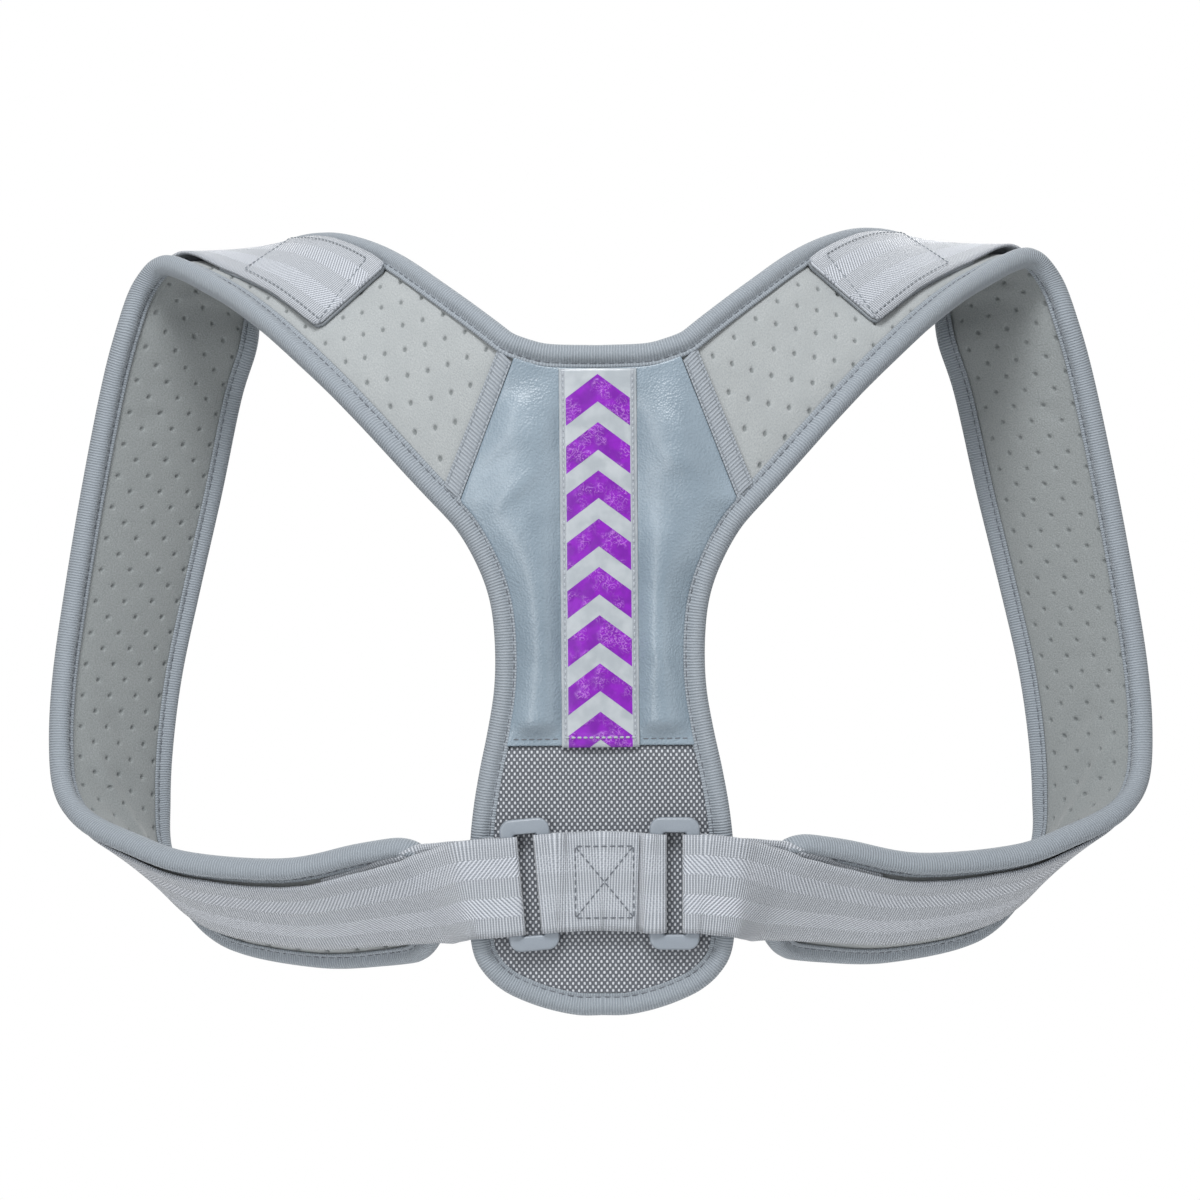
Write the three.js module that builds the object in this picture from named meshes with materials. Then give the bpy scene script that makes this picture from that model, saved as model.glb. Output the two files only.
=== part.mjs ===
// A posture corrector in millimetres, seen from behind by an eye that looks along +Y.
// X is to the right, Y points to the wearer and Z is up. Z is 0 at the waist of the back panel,
// and Y is 0 on the panel's face that lies on the wearer.
import * as THREE from 'three';

// Overall reach of the two shoulder bands
const halfSpan = 225;
const depth = 130;
const rise = 170;

// Shoulder bands
const bandWidth = 65;
const padThick = 5.5;
const padCornerRadius = 16;

// Back panel
const waistHalf = 38.8;
const bulbHalf = 50.1;
const bulbDrop = 139.6;
const neckHeight = 116.5;
const panelBodyPuff = 2.6;

// Edge of every padded piece, and the binding folded over it
const edgeThick = 3.4;
const tapeThick = 1.1;
const bindingLip = 7;
const bindingNose = 1.9;
const gap = 0.3;
const bindingGap = 0.4;

// Pieces on the panel
const leatherThick = 1.2;
const leatherPuff = 3;
const leatherBottom = -36.8;
const stripWidth = 30;
const stripThick = 0.8;
const meshThick = 1.2;
const seamTapeWidth = 8;
const seamTapeThick = 1;

// Rings and webbing
const ringWidth = 19.4;
const ringHeight = 51;
const ringThick = 3.2;
const ringSlotWidth = 9.2;
const ringSlotHeight = 39.4;
const ringCorner = 4.5;
const ringReach = 28;
const ringDrop = 0.645 * bulbDrop;
const ringLeanLeft = THREE.MathUtils.degToRad(4.8);
const ringLeanRight = THREE.MathUtils.degToRad(0.6);
const webWidth = 38;
const webThick = 1.3;
const centreOverlapRight = 13.8;
const centreOverlapLeft = 10;
const hookTabThick = 1.6;
const hookTabLift = 0.75;
const webClearance = 1;
// How far the long webbing's two layers hang below the ring's middle where they leave the panel
const underSag = 2;
const overSag = 5;

// Middle line of a shoulder band from the seam to its free end. out, back and up are shares of
// halfSpan, depth and rise; turn and tilt aim the line across the band, in degrees; wide is a
// share of bandWidth.
const bandRows = [
  { out: 0.206, back: 0.0, up: 0.518, turn: 0, tilt: 69, wide: 1.158 },
  { out: 0.336, back: 0.104, up: 0.682, turn: 15, tilt: 58, wide: 1.014 },
  { out: 0.435, back: 0.238, up: 0.796, turn: 33, tilt: 51, wide: 0.981 },
  { out: 0.536, back: 0.415, up: 0.884, turn: 50, tilt: 39, wide: 0.963 },
  { out: 0.633, back: 0.604, up: 0.932, turn: 59, tilt: 22, wide: 0.955 },
  { out: 0.718, back: 0.754, up: 0.942, turn: 55, tilt: 1, wide: 0.983 },
  { out: 0.753, back: 0.8, up: 0.87, turn: 46, tilt: -9, wide: 1.017 },
  { out: 0.773, back: 0.785, up: 0.77, turn: 37, tilt: -4, wide: 1.02 },
  { out: 0.804, back: 0.8, up: 0.633, turn: 37, tilt: 1, wide: 1.022 },
  { out: 0.843, back: 0.808, up: 0.39, turn: 39, tilt: 1, wide: 1.029 },
  { out: 0.881, back: 0.8, up: 0.14, turn: 42, tilt: 0, wide: 1.006 },
  { out: 0.907, back: 0.781, up: -0.06, turn: 45, tilt: -1, wide: 0.987 },
  { out: 0.917, back: 0.75, up: -0.227, turn: 48, tilt: -4, wide: 0.974 },
  { out: 0.912, back: 0.708, up: -0.36, turn: 53, tilt: -9, wide: 0.974 },
  { out: 0.882, back: 0.635, up: -0.46, turn: 63, tilt: -19, wide: 0.97 },
  { out: 0.81, back: 0.55, up: -0.538, turn: 70, tilt: -30, wide: 0.97 },
  { out: 0.71, back: 0.454, up: -0.603, turn: 72, tilt: -40, wide: 0.975 },
  { out: 0.538, back: 0.338, up: -0.624, turn: 75, tilt: -45, wide: 0.985 },
  { out: 0.404, back: 0.25, up: -0.598, turn: 74, tilt: -52, wide: 0.98 },
  { out: 0.29, back: 0.15, up: -0.57, turn: 80, tilt: -62, wide: 0.88 },
];
const bandEnd = bandRows.length - 1;

// Side of the panel's round lower end, from its bottom middle up to where it is widest. half is a
// share of bulbHalf and up a share of bulbDrop.
const bulbRows = [
  { half: 0.18, up: -1.0 },
  { half: 0.39, up: -0.985 },
  { half: 0.58, up: -0.962 },
  { half: 0.75, up: -0.932 },
  { half: 0.885, up: -0.888 },
  { half: 0.97, up: -0.828 },
  { half: 1.0, up: -0.7 },
];
// From there to the waist: half is the share of the way out from waistHalf to bulbHalf.
const waistRows = [
  { half: 0.933, up: -0.555 },
  { half: 0.8, up: -0.443 },
  { half: 0.567, up: -0.333 },
  { half: 0.275, up: -0.221 },
  { half: 0.05, up: -0.11 },
  { half: 0.0, up: 0.0 },
];
// From the waist to the seam's lower corner, as shares of the way out and up to it.
const flankRows = [
  { half: 0.057, up: 0.285 },
  { half: 0.2, up: 0.5 },
  { half: 0.449, up: 0.71 },
  { half: 0.726, up: 0.88 },
];
// Neck edge from the seam's upper corner to the middle: out is a share of the corner's distance
// from the middle and up the share of its height over the middle.
const neckRows = [
  { out: 0.8, up: 0.52 },
  { out: 0.55, up: 0.12 },
];
// Stretches of the band that bend sharply and take closer stations
const bentStretches = [
  { from: 4, to: 8 },
  { from: 12, to: 16 },
];

// Long webbing on the band: where along it (in rows of bandRows), how far from its middle line as
// a share of bandWidth, and how far its nearer face stands off the pad, in mm.
const webbingRows = [
  { row: 2, across: 0.06, lift: 2.8 },
  { row: 3, across: 0.06, lift: 2.6 },
  { row: 4, across: 0.045, lift: 2.6 },
  { row: 4.7, across: 0.03, lift: 3.4 },
  { row: 5.3, across: 0.02, lift: 4.4 },
  { row: 5.8, across: 0, lift: 3.8 },
  { row: 6.4, across: 0, lift: 2.6 },
  { row: 7.2, across: 0, lift: 1.2 },
  { row: 8, across: 0, lift: 0.5 },
  { row: 9.5, across: 0, lift: 0.5 },
  { row: 11, across: 0, lift: 0.8 },
  { row: 12.2, across: 0, lift: 1.2 },
  { row: 13.2, across: 0, lift: 1.8 },
  { row: 14.2, across: 0, lift: 2.2 },
  { row: 15, across: -0.02, lift: 2.3 },
  { row: 16, across: -0.04, lift: 2.3 },
  { row: 17, across: -0.05, lift: 2.3 },
  { row: 18.3, across: -0.05, lift: 2.7 },
  { row: 18.7, across: -0.06, lift: 3.2 },
  { row: 19, across: -0.06, lift: 3.5 },
];
// The under layer of the long webbing, which is sewn to the end of the pad.
const underRows = [
  { row: 17.6, across: -0.05, lift: 0.5 },
  { row: 18.3, across: -0.06, lift: 0.9 },
  { row: 18.7, across: -0.09, lift: 1.4 },
  { row: 19, across: -0.1, lift: 1.6 },
];
const webbingReturnRow = underRows[0].row;
const webbingTopRow = webbingRows[0].row;
const hookTabEndRow = webbingRows[2].row;

const colours = {
  pad: 0x9ea2a1,
  lining: 0x9a9e9d,
  binding: 0x8b9299,
  leather: 0x8f9ba6,
  strip: 0xc9ccd3,
  mesh: 0x6f747b,
  ring: 0x808890,
  webbing: 0xa9adb5,
  hook: 0x8a8f96,
};

function finish(colour, roughness, metalness = 0) {
  return new THREE.MeshStandardMaterial({ color: colour, roughness, metalness });
}

// Six times the volume enclosed by the faces; its sign tells which way they are wound.
function signedVolume(points, faces) {
  let sum = 0;
  for (const [a, b, c] of faces) {
    sum += points[a].dot(new THREE.Vector3().crossVectors(points[b], points[c]));
  }
  return sum;
}

function closedGeometry(points, faces) {
  const outward = signedVolume(points, faces) > 0;
  const geometry = new THREE.BufferGeometry();
  geometry.setAttribute(
    'position',
    new THREE.Float32BufferAttribute(points.flatMap((p) => [p.x, p.y, p.z]), 3),
  );
  geometry.setIndex(faces.flatMap(([a, b, c]) => (outward ? [a, b, c] : [a, c, b])));
  geometry.computeVertexNormals();
  return geometry;
}

// A closed sheet between two grids of points, each a list of rows.
function sheetGeometry(front, back) {
  const rows = front.length;
  const columns = front[0].length;
  const points = [...front.flat(), ...back.flat()];
  const offset = rows * columns;
  const at = (i, j) => i * columns + j;
  const faces = [];
  for (let i = 0; i < rows - 1; i += 1) {
    for (let j = 0; j < columns - 1; j += 1) {
      const [a, b, c, d] = [at(i, j), at(i, j + 1), at(i + 1, j + 1), at(i + 1, j)];
      faces.push([a, b, c], [a, c, d]);
      faces.push([a + offset, c + offset, b + offset], [a + offset, d + offset, c + offset]);
    }
  }
  const rim = [];
  for (let j = 0; j < columns - 1; j += 1) rim.push(at(0, j));
  for (let i = 0; i < rows - 1; i += 1) rim.push(at(i, columns - 1));
  for (let j = columns - 1; j > 0; j -= 1) rim.push(at(rows - 1, j));
  for (let i = rows - 1; i > 0; i -= 1) rim.push(at(i, 0));
  rim.forEach((a, i) => {
    const b = rim[(i + 1) % rim.length];
    faces.push([a, b + offset, b], [a, a + offset, b + offset]);
  });
  return closedGeometry(points, faces);
}

// A section of [outward, through] pairs swept along stations, each a function that places a pair.
function sweepGeometry(stations, section) {
  const points = stations.flatMap((place) => section.map(([outward, through]) =>
    place(outward, through)));
  const count = section.length;
  const faces = [];
  for (let i = 0; i < stations.length - 1; i += 1) {
    for (let j = 0; j < count; j += 1) {
      const a = i * count + j;
      const b = i * count + ((j + 1) % count);
      faces.push([a, b, b + count], [a, b + count, a + count]);
    }
  }
  const flat = section.map(([o, t]) => new THREE.Vector2(o, t));
  const last = (stations.length - 1) * count;
  for (const [a, b, c] of THREE.ShapeUtils.triangulateShape(flat, [])) {
    const turned = THREE.ShapeUtils.isClockWise(flat) ? [a, c, b] : [a, b, c];
    faces.push([turned[0], turned[2], turned[1]]);
    faces.push(turned.map((index) => index + last));
  }
  return closedGeometry(points, faces);
}

// The same piece with each of its points moved to another place.
function moved(geometry, place) {
  const position = geometry.attributes.position;
  const points = [];
  for (let i = 0; i < position.count; i += 1) {
    points.push(place(new THREE.Vector3().fromBufferAttribute(position, i)));
  }
  const index = geometry.index ? [...geometry.index.array] : points.map((point, i) => i);
  const faces = [];
  for (let i = 0; i < index.length; i += 3) faces.push(index.slice(i, i + 3));
  return closedGeometry(points, faces);
}

function mirrored(geometry) {
  return moved(geometry, ({ x, y, z }) => new THREE.Vector3(-x, y, z));
}

// Value of one column of a table at a fractional row, on a smooth curve through the rows.
function smooth(rows, name, place) {
  const last = rows.length - 1;
  const i = Math.min(Math.floor(place), last - 1);
  const t = place - i;
  const value = (n) => rows[n][name];
  const p1 = value(i);
  const p2 = value(i + 1);
  const p0 = i > 0 ? value(i - 1) : 2 * p1 - p2;
  const p3 = i + 2 <= last ? value(i + 2) : 2 * p2 - p1;
  const m1 = (p2 - p0) / 2;
  const m2 = (p3 - p1) / 2;
  return (
    (2 * t ** 3 - 3 * t ** 2 + 1) * p1 + (t ** 3 - 2 * t ** 2 + t) * m1
    + (-2 * t ** 3 + 3 * t ** 2) * p2 + (t ** 3 - t ** 2) * m2
  );
}

// The same where the table's own row column says where each of its rows lies.
function smoothAtRow(rows, name, row) {
  let i = 0;
  while (i < rows.length - 2 && row > rows[i + 1].row) i += 1;
  const share = (row - rows[i].row) / (rows[i + 1].row - rows[i].row);
  return smooth(rows, name, i + THREE.MathUtils.clamp(share, 0, 1));
}

function bandMiddle(row) {
  return new THREE.Vector3(
    -smooth(bandRows, 'out', row) * halfSpan,
    smooth(bandRows, 'back', row) * depth,
    smooth(bandRows, 'up', row) * rise,
  );
}

// Axes of the left band at a row: along it, across it from the arm edge to the neck edge, and
// through it towards the wearer.
function bandFrame(row) {
  const step = 0.02;
  const from = bandMiddle(Math.max(row - step, 0));
  const to = bandMiddle(Math.min(row + step, bandEnd));
  const along = to.sub(from).normalize();
  if (row < 1) along.lerp(new THREE.Vector3(along.x, 0, along.z), 1 - row).normalize();
  const turn = THREE.MathUtils.degToRad(smooth(bandRows, 'turn', row));
  const tilt = THREE.MathUtils.degToRad(smooth(bandRows, 'tilt', row));
  const across = new THREE.Vector3(
    Math.cos(tilt) * Math.cos(turn),
    Math.cos(tilt) * Math.sin(turn),
    Math.sin(tilt),
  );
  const through = new THREE.Vector3().crossVectors(along, across).normalize();
  return { along, across, through };
}

const lastStretch = bandMiddle(bandEnd).distanceTo(bandMiddle(bandEnd - 1));

// A point on the left band, or past its end in the direction in which it ends.
function bandPoint(row, across, through) {
  const inside = Math.min(row, bandEnd);
  const axes = bandFrame(inside);
  return bandMiddle(inside)
    .addScaledVector(axes.along, (row - inside) * lastStretch)
    .addScaledVector(axes.across, across)
    .addScaledVector(axes.through, through);
}

// Half the width of the pad inside its binding, before its end is rounded.
function padHalf(row) {
  return (smooth(bandRows, 'wide', row) * bandWidth) / 2 - bindingNose;
}

// Stations along the pad. Those of the rounded end also have the angle round its corner.
function padStations() {
  const stations = [{ row: 0.01, angle: 0 }];
  const cornerRow = bandEnd - padCornerRadius / lastStretch;
  let row = 0;
  while (row < cornerRow - 0.4) {
    const bent = bentStretches.some(({ from, to }) => row > from - 0.1 && row < to - 0.1);
    row += bent ? 1 / 3 : 1 / 2;
    if (row < cornerRow - 0.2) stations.push({ row, angle: 0 });
  }
  for (let i = 0; i <= 4; i += 1) {
    const angle = (i * Math.PI) / 8;
    stations.push({
      row: bandEnd - (padCornerRadius * (1 - Math.sin(angle))) / lastStretch,
      angle,
    });
  }
  return stations.map((station) => ({
    ...station,
    half: padHalf(station.row) - padCornerRadius * (1 - Math.cos(station.angle)),
  }));
}

const bindingReach = bindingLip + 2 * gap;
const endMargin = 3;

// Half thickness of the pad: thin under the binding and the seam tape, full in the middle.
function padHalfThick(toEdge) {
  const share = THREE.MathUtils.smoothstep(toEdge, bindingReach, 2 * bindingReach);
  return THREE.MathUtils.lerp(edgeThick, padThick, share) / 2;
}

function shoulderPad() {
  const shares = [0, bindingReach, 2 * bindingReach];
  const stations = padStations();
  const front = [];
  const back = [];
  for (const { row, half } of stations) {
    const columns = [
      ...shares.map((inset) => -half + inset),
      0,
      ...[...shares].reverse().map((inset) => half - inset),
    ];
    const toEnd = (bandEnd - row) * lastStretch - endMargin;
    const toSeam = row * bandMiddle(1).distanceTo(bandMiddle(0)) + bindingReach - seamTapeWidth / 2;
    const thick = (across) => padHalfThick(Math.min(half - Math.abs(across), toEnd, toSeam));
    front.push(columns.map((across) => bandPoint(row, across, -thick(across))));
    back.push(columns.map((across) => bandPoint(row, across, thick(across))));
  }
  return sheetGeometry(front, back);
}

const seamLow = bandPoint(0, -padHalf(0), 0);
const seamHigh = bandPoint(0, padHalf(0), 0);

// Edge of the left half of the panel from the bottom middle to the seam's lower corner.
function panelSide() {
  const place = (half, z) => new THREE.Vector3(-half, 0, z);
  return [
    place(gap / 2, -bulbDrop),
    ...bulbRows.map(({ half, up }) => place(half * bulbHalf, up * bulbDrop)),
    ...waistRows.map(({ half, up }) =>
      place(THREE.MathUtils.lerp(waistHalf, bulbHalf, half), up * bulbDrop)),
    ...flankRows.map(({ half, up }) =>
      place(THREE.MathUtils.lerp(waistHalf, -seamLow.x, half), up * seamLow.z)),
  ];
}

// The neck edge from the seam to the left half's end in the middle.
function panelNeck() {
  return [
    ...neckRows.map(({ out, up }) =>
      new THREE.Vector3(seamHigh.x * out, 0, THREE.MathUtils.lerp(neckHeight, seamHigh.z, up))),
    new THREE.Vector3(-gap / 2, 0, neckHeight),
  ];
}

// Outline of the whole panel, mirrored about its middle, as points in X and Z.
function panelOutline() {
  const left = [...panelSide().slice(1), seamLow, seamHigh, ...panelNeck().slice(0, -1)]
    .map(({ x, z }) => new THREE.Vector2(x, z));
  const right = left.map(({ x, y }) => new THREE.Vector2(-x, y)).reverse();
  return [...left, new THREE.Vector2(0, neckHeight), ...right];
}

// Outline moved inwards by a distance at each corner.
function insetOutline(outline, distance) {
  const clockwise = THREE.ShapeUtils.isClockWise(outline);
  const side = clockwise ? 1 : -1;
  return outline.map((point, i) => {
    const before = outline[(i + outline.length - 1) % outline.length];
    const after = outline[(i + 1) % outline.length];
    const first = point.clone().sub(before).normalize();
    const second = after.clone().sub(point).normalize();
    const normal = (v) => new THREE.Vector2(v.y * side, -v.x * side);
    const sum = normal(first).add(normal(second)).normalize();
    const spread = Math.max(sum.dot(normal(first)), 0.5);
    return point.clone().addScaledVector(sum, distance / spread);
  });
}

// A plate from rings of points, each an outline in X and Z at its own Y, closed at both ends.
function ringedGeometry(rings) {
  const count = rings[0].outline.length;
  const points = rings.flatMap(({ outline, y }) =>
    outline.map((p) => new THREE.Vector3(p.x, y, p.y)),
  );
  const faces = [];
  for (let ring = 0; ring < rings.length - 1; ring += 1) {
    for (let i = 0; i < count; i += 1) {
      const a = ring * count + i;
      const b = ring * count + ((i + 1) % count);
      faces.push([a, b, b + count], [a, b + count, a + count]);
    }
  }
  const clockwise = THREE.ShapeUtils.isClockWise(rings[0].outline);
  const addCap = (ring, flip) => {
    const triangles = THREE.ShapeUtils.triangulateShape(rings[ring].outline, []);
    for (const [a, b, c] of triangles) {
      const [p, q, r] = [a, b, c].map((i) => rings[ring].outline[i]);
      const turn = (q.x - p.x) * (r.y - p.y) - (q.y - p.y) * (r.x - p.x);
      const sameWay = turn < 0 === clockwise;
      const face = sameWay !== flip ? [a, c, b] : [a, b, c];
      faces.push(face.map((i) => i + ring * count));
    }
  };
  addCap(0, false);
  addCap(rings.length - 1, true);
  return closedGeometry(points, faces);
}

const puffReach = 1.7 * bindingReach;

function backPad() {
  const outline = panelOutline();
  const face = edgeThick / 2;
  return ringedGeometry([
    { outline, y: -face },
    { outline, y: face },
    { outline: insetOutline(outline, bindingReach), y: face },
    { outline: insetOutline(outline, puffReach), y: face + panelBodyPuff },
  ]);
}

// Half width of the panel at a height, between the rows of its side.
function panelHalfAt(z) {
  const side = [...panelSide(), seamLow, seamHigh];
  for (let i = 0; i < side.length - 1; i += 1) {
    const [low, high] = [side[i], side[i + 1]];
    if (z >= low.z && z <= high.z && high.z > low.z) {
      return -THREE.MathUtils.lerp(low.x, high.x, (z - low.z) / (high.z - low.z));
    }
  }
  return -side[side.length - 1].x;
}

// Height of the neck edge at a distance from the middle.
function neckAt(x) {
  const neck = [seamHigh, ...panelNeck()];
  for (let i = 0; i < neck.length - 1; i += 1) {
    const [outer, inner] = [-neck[i].x, -neck[i + 1].x];
    if (Math.abs(x) <= outer && Math.abs(x) >= inner) {
      const share = (outer - Math.abs(x)) / (outer - inner);
      return THREE.MathUtils.lerp(neck[i].z, neck[i + 1].z, share);
    }
  }
  return Math.abs(x) > -neck[0].x ? neck[0].z : neckHeight;
}

const panelFront = -edgeThick / 2;
const seamInset = seamTapeWidth / 2 + 5 * gap;

// Half width of the panel at a height, less an inset square to its edge.
function insetHalfAt(z, inset) {
  const step = seamTapeWidth / 2;
  const slope = (panelHalfAt(z + step) - panelHalfAt(z - step)) / (2 * step);
  return panelHalfAt(z) - inset * Math.hypot(1, slope);
}

// The leather stops at the binding below the seam's corner and at the seam tape above it.
function leatherHalfAt(z) {
  const blend = 2 * seamTapeWidth;
  const share = THREE.MathUtils.smoothstep(z, seamLow.z, seamLow.z + blend);
  return insetHalfAt(z, THREE.MathUtils.lerp(bindingReach, seamInset, share));
}

// The leather swells between the strip and its outer edges and is pressed flat along both.
function leatherSwell(x, half, up) {
  const share = THREE.MathUtils.clamp((Math.abs(x) - stripWidth / 2) / (half - stripWidth / 2), 0, 1);
  return leatherPuff * Math.sin(Math.PI * share) ** 0.8 * Math.sin(Math.PI * up) ** 0.5;
}

function leatherPanel() {
  const rows = 14;
  const front = [];
  const back = [];
  for (let i = 0; i <= rows; i += 1) {
    const up = i / rows;
    const topMiddle = neckHeight - bindingReach;
    const height = THREE.MathUtils.lerp(leatherBottom, topMiddle, up);
    const half = leatherHalfAt(height);
    const beside = [0, 0.5, 1].map((share) => THREE.MathUtils.lerp(stripWidth / 2, half, share));
    const columns = [...beside.map((x) => -x).reverse(), 0, ...beside].map((x) => {
      const top = neckAt(x) - bindingReach;
      return { x, z: THREE.MathUtils.lerp(leatherBottom, top, up) };
    });
    front.push(columns.map(({ x, z }) => {
      const y = panelFront - gap - leatherThick - leatherSwell(x, half, up);
      return new THREE.Vector3(x, y, z);
    }));
    back.push(columns.map(({ x, z }) => new THREE.Vector3(x, panelFront - gap, z)));
  }
  return sheetGeometry(front, back);
}

const leatherFront = panelFront - gap - leatherThick;

function box(xFrom, xTo, yFrom, yTo, zFrom, zTo) {
  const geometry = new THREE.BoxGeometry(xTo - xFrom, yTo - yFrom, zTo - zFrom);
  geometry.translate((xFrom + xTo) / 2, (yFrom + yTo) / 2, (zFrom + zTo) / 2);
  return geometry;
}

function reflectiveStrip() {
  const half = stripWidth / 2;
  const front = leatherFront - gap;
  return box(-half, half, front - stripThick, front, leatherBottom, neckHeight - bindingReach);
}

function meshPanel() {
  const inner = insetOutline(panelOutline(), bindingReach);
  const top = leatherBottom - gap;
  const low = inner.filter(({ y }) => y < top - bindingLip / 2);
  const left = low.filter(({ x }) => x < 0).sort((a, b) => b.y - a.y);
  const right = low.filter(({ x }) => x > 0).sort((a, b) => a.y - b.y);
  const half = insetHalfAt(top, bindingReach);
  const outline = [
    new THREE.Vector2(-half, top),
    ...left,
    ...right,
    new THREE.Vector2(half, top),
  ];
  return ringedGeometry([
    { outline, y: panelFront - gap },
    { outline, y: panelFront - gap - meshThick },
  ]);
}

// Tape over the seam: one edge on the panel and the other on the pad, both held off by the gap.
function seamTape() {
  const half = padHalf(0) - bindingReach;
  const steps = 4;
  const pitch = bandMiddle(1).distanceTo(bandMiddle(0));
  const front = [];
  const back = [];
  for (let i = 0; i <= steps; i += 1) {
    const across = THREE.MathUtils.lerp(-half, half, i / steps);
    const seam = bandPoint(0, across, 0);
    const axes = bandFrame(0);
    const inPanel = seam.clone().addScaledVector(axes.along, -seamTapeWidth / 2);
    const row = seamTapeWidth / 2 / pitch;
    const low = edgeThick / 2 + gap;
    const high = low + seamTapeThick;
    const places = (lift) => [
      inPanel.clone().setY(-lift),
      seam.clone().setY(-lift),
      bandPoint(row, across, -lift),
    ];
    front.push(places(high));
    back.push(places(low));
  }
  return sheetGeometry(front, back);
}

// Channel folded over an edge: outward from the edge and through its thickness.
function bindingSection() {
  const inner = edgeThick / 2 + bindingGap;
  const outer = inner + tapeThick;
  return [
    [-bindingLip, outer],
    [gap, outer],
    [bindingNose, 0],
    [gap, -outer],
    [-bindingLip, -outer],
    [-bindingLip, -inner],
    [gap, -inner],
    [gap, inner],
    [-bindingLip, inner],
  ];
}

// Stations of a binding on the flat panel along some points of its edge, between the points
// before and after them.
function flatStations(points, before, after) {
  return points.map((point, i) => {
    const from = points[i - 1] ?? before;
    const to = points[i + 1] ?? after;
    const along = to.clone().sub(from).normalize();
    const outwards = new THREE.Vector3(-along.z, 0, along.x);
    return (outward, through) => point.clone()
      .addScaledVector(outwards, outward)
      .add(new THREE.Vector3(0, through, 0));
  });
}

// The left binding runs from the bottom middle up the panel's side, out along the arm edge of the
// pad, round its end and back along the neck edge to the middle.
function bindingStations() {
  const middle = new THREE.Vector3(1, 0, 0);
  const side = panelSide();
  const neck = panelNeck();
  const pad = padStations();
  const onEdge = ({ row, half, angle }, edge) => (outward, through) => bandPoint(
    row + (outward * Math.sin(angle)) / lastStretch,
    edge * (half + outward * Math.cos(angle)),
    through,
  );
  const { half: endHalf } = pad[pad.length - 1];
  const onEnd = [-0.5, 0, 0.5].map((share) => (outward, through) =>
    bandPoint(bandEnd + outward / lastStretch, share * endHalf, through));
  return [
    ...flatStations(side, side[0].clone().add(middle), seamLow),
    ...pad.map((station) => onEdge(station, -1)),
    ...onEnd,
    ...[...pad].reverse().map((station) => onEdge(station, 1)),
    ...flatStations(neck, seamHigh, neck[neck.length - 1].clone().add(middle)),
  ];
}

function roundedRectangle(target, width, height, radius) {
  const [x, y] = [width / 2, height / 2];
  const corners = [
    [x - radius, y - radius, 0],
    [-x + radius, y - radius, Math.PI / 2],
    [-x + radius, -y + radius, Math.PI],
    [x - radius, -y + radius, (3 * Math.PI) / 2],
  ];
  corners.forEach(([cx, cy, start]) => target.absarc(cx, cy, radius, start, start + Math.PI / 2));
  target.closePath();
  return target;
}

const meshFront = panelFront - gap - meshThick;
const backLayer = meshFront - gap - webThick / 2;
const ringMiddle = backLayer - webThick / 2 - gap - ringThick / 2;
const foldLift = ringThick / 2 + gap + webThick / 2;
const foldCorner = 1.2;
const ringBar = (ringWidth - ringSlotWidth) / 2;
const barReach = ringSlotWidth / 2 + ringBar / 2;

// Places a point drawn about the left ring's middle: along is away from the panel's middle.
function onRing(lean, along, y, across) {
  const [c, s] = [Math.cos(lean), Math.sin(lean)];
  return new THREE.Vector3(
    -ringReach - along * c - across * s,
    y,
    -ringDrop - along * s + across * c,
  );
}

function ring(lean) {
  const outline = roundedRectangle(new THREE.Shape(), ringWidth, ringHeight, ringCorner);
  outline.holes.push(roundedRectangle(new THREE.Path(), ringSlotWidth, ringSlotHeight, 1));
  const geometry = new THREE.ExtrudeGeometry(outline, {
    depth: ringThick,
    bevelEnabled: false,
    curveSegments: 5,
  });
  return moved(geometry, ({ x, y, z }) => onRing(lean, x, ringMiddle + ringThick / 2 - z, y));
}

// Half turn of webbing round a bar of the left ring, from behind it to its front. side is 1 for
// the outer bar and -1 for the inner one, whose webbing comes from the other way.
function barFold(lean, side) {
  const reach = ringBar / 2 + gap + webThick / 2;
  const across = onRing(lean, 0, 0, -1).sub(onRing(lean, 0, 0, 0));
  const bow = (1 - Math.SQRT1_2) * foldCorner;
  const quarter = [
    [0, foldLift],
    [reach - foldCorner, foldLift],
    [reach - bow, foldLift - bow],
    [reach, foldLift - foldCorner],
  ];
  const turn = [...quarter, ...[...quarter].reverse().map(([x, y]) => [x, -y])];
  return turn.map(([x, y]) => ({
    point: onRing(lean, side * (barReach - x), ringMiddle + y, 0),
    across,
  }));
}

// A strip of webbing through stations with a point, the line across it and the line through it.
function webbingGeometry(stations, thick = webThick) {
  const face = (side) => stations.map(({ point, across, through }) =>
    [-0.5, 0, 0.5].map((share) =>
      point.clone()
        .addScaledVector(across, share * webWidth)
        .addScaledVector(through, (side * thick) / 2)),
  );
  return sheetGeometry(face(1), face(-1));
}

// Adds to each station that has none the line through it: across it and along the path.
function withThrough(stations) {
  return stations.map((station, i) => {
    if (station.through) return station;
    const before = stations[Math.max(i - 1, 0)].point;
    const after = stations[Math.min(i + 1, stations.length - 1)].point;
    const along = after.clone().sub(before).normalize();
    const through = new THREE.Vector3().crossVectors(along, station.across).normalize();
    return { ...station, through };
  });
}

const webLayer = webThick + gap;
const barEdge = ringReach - ringWidth / 2;

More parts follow.
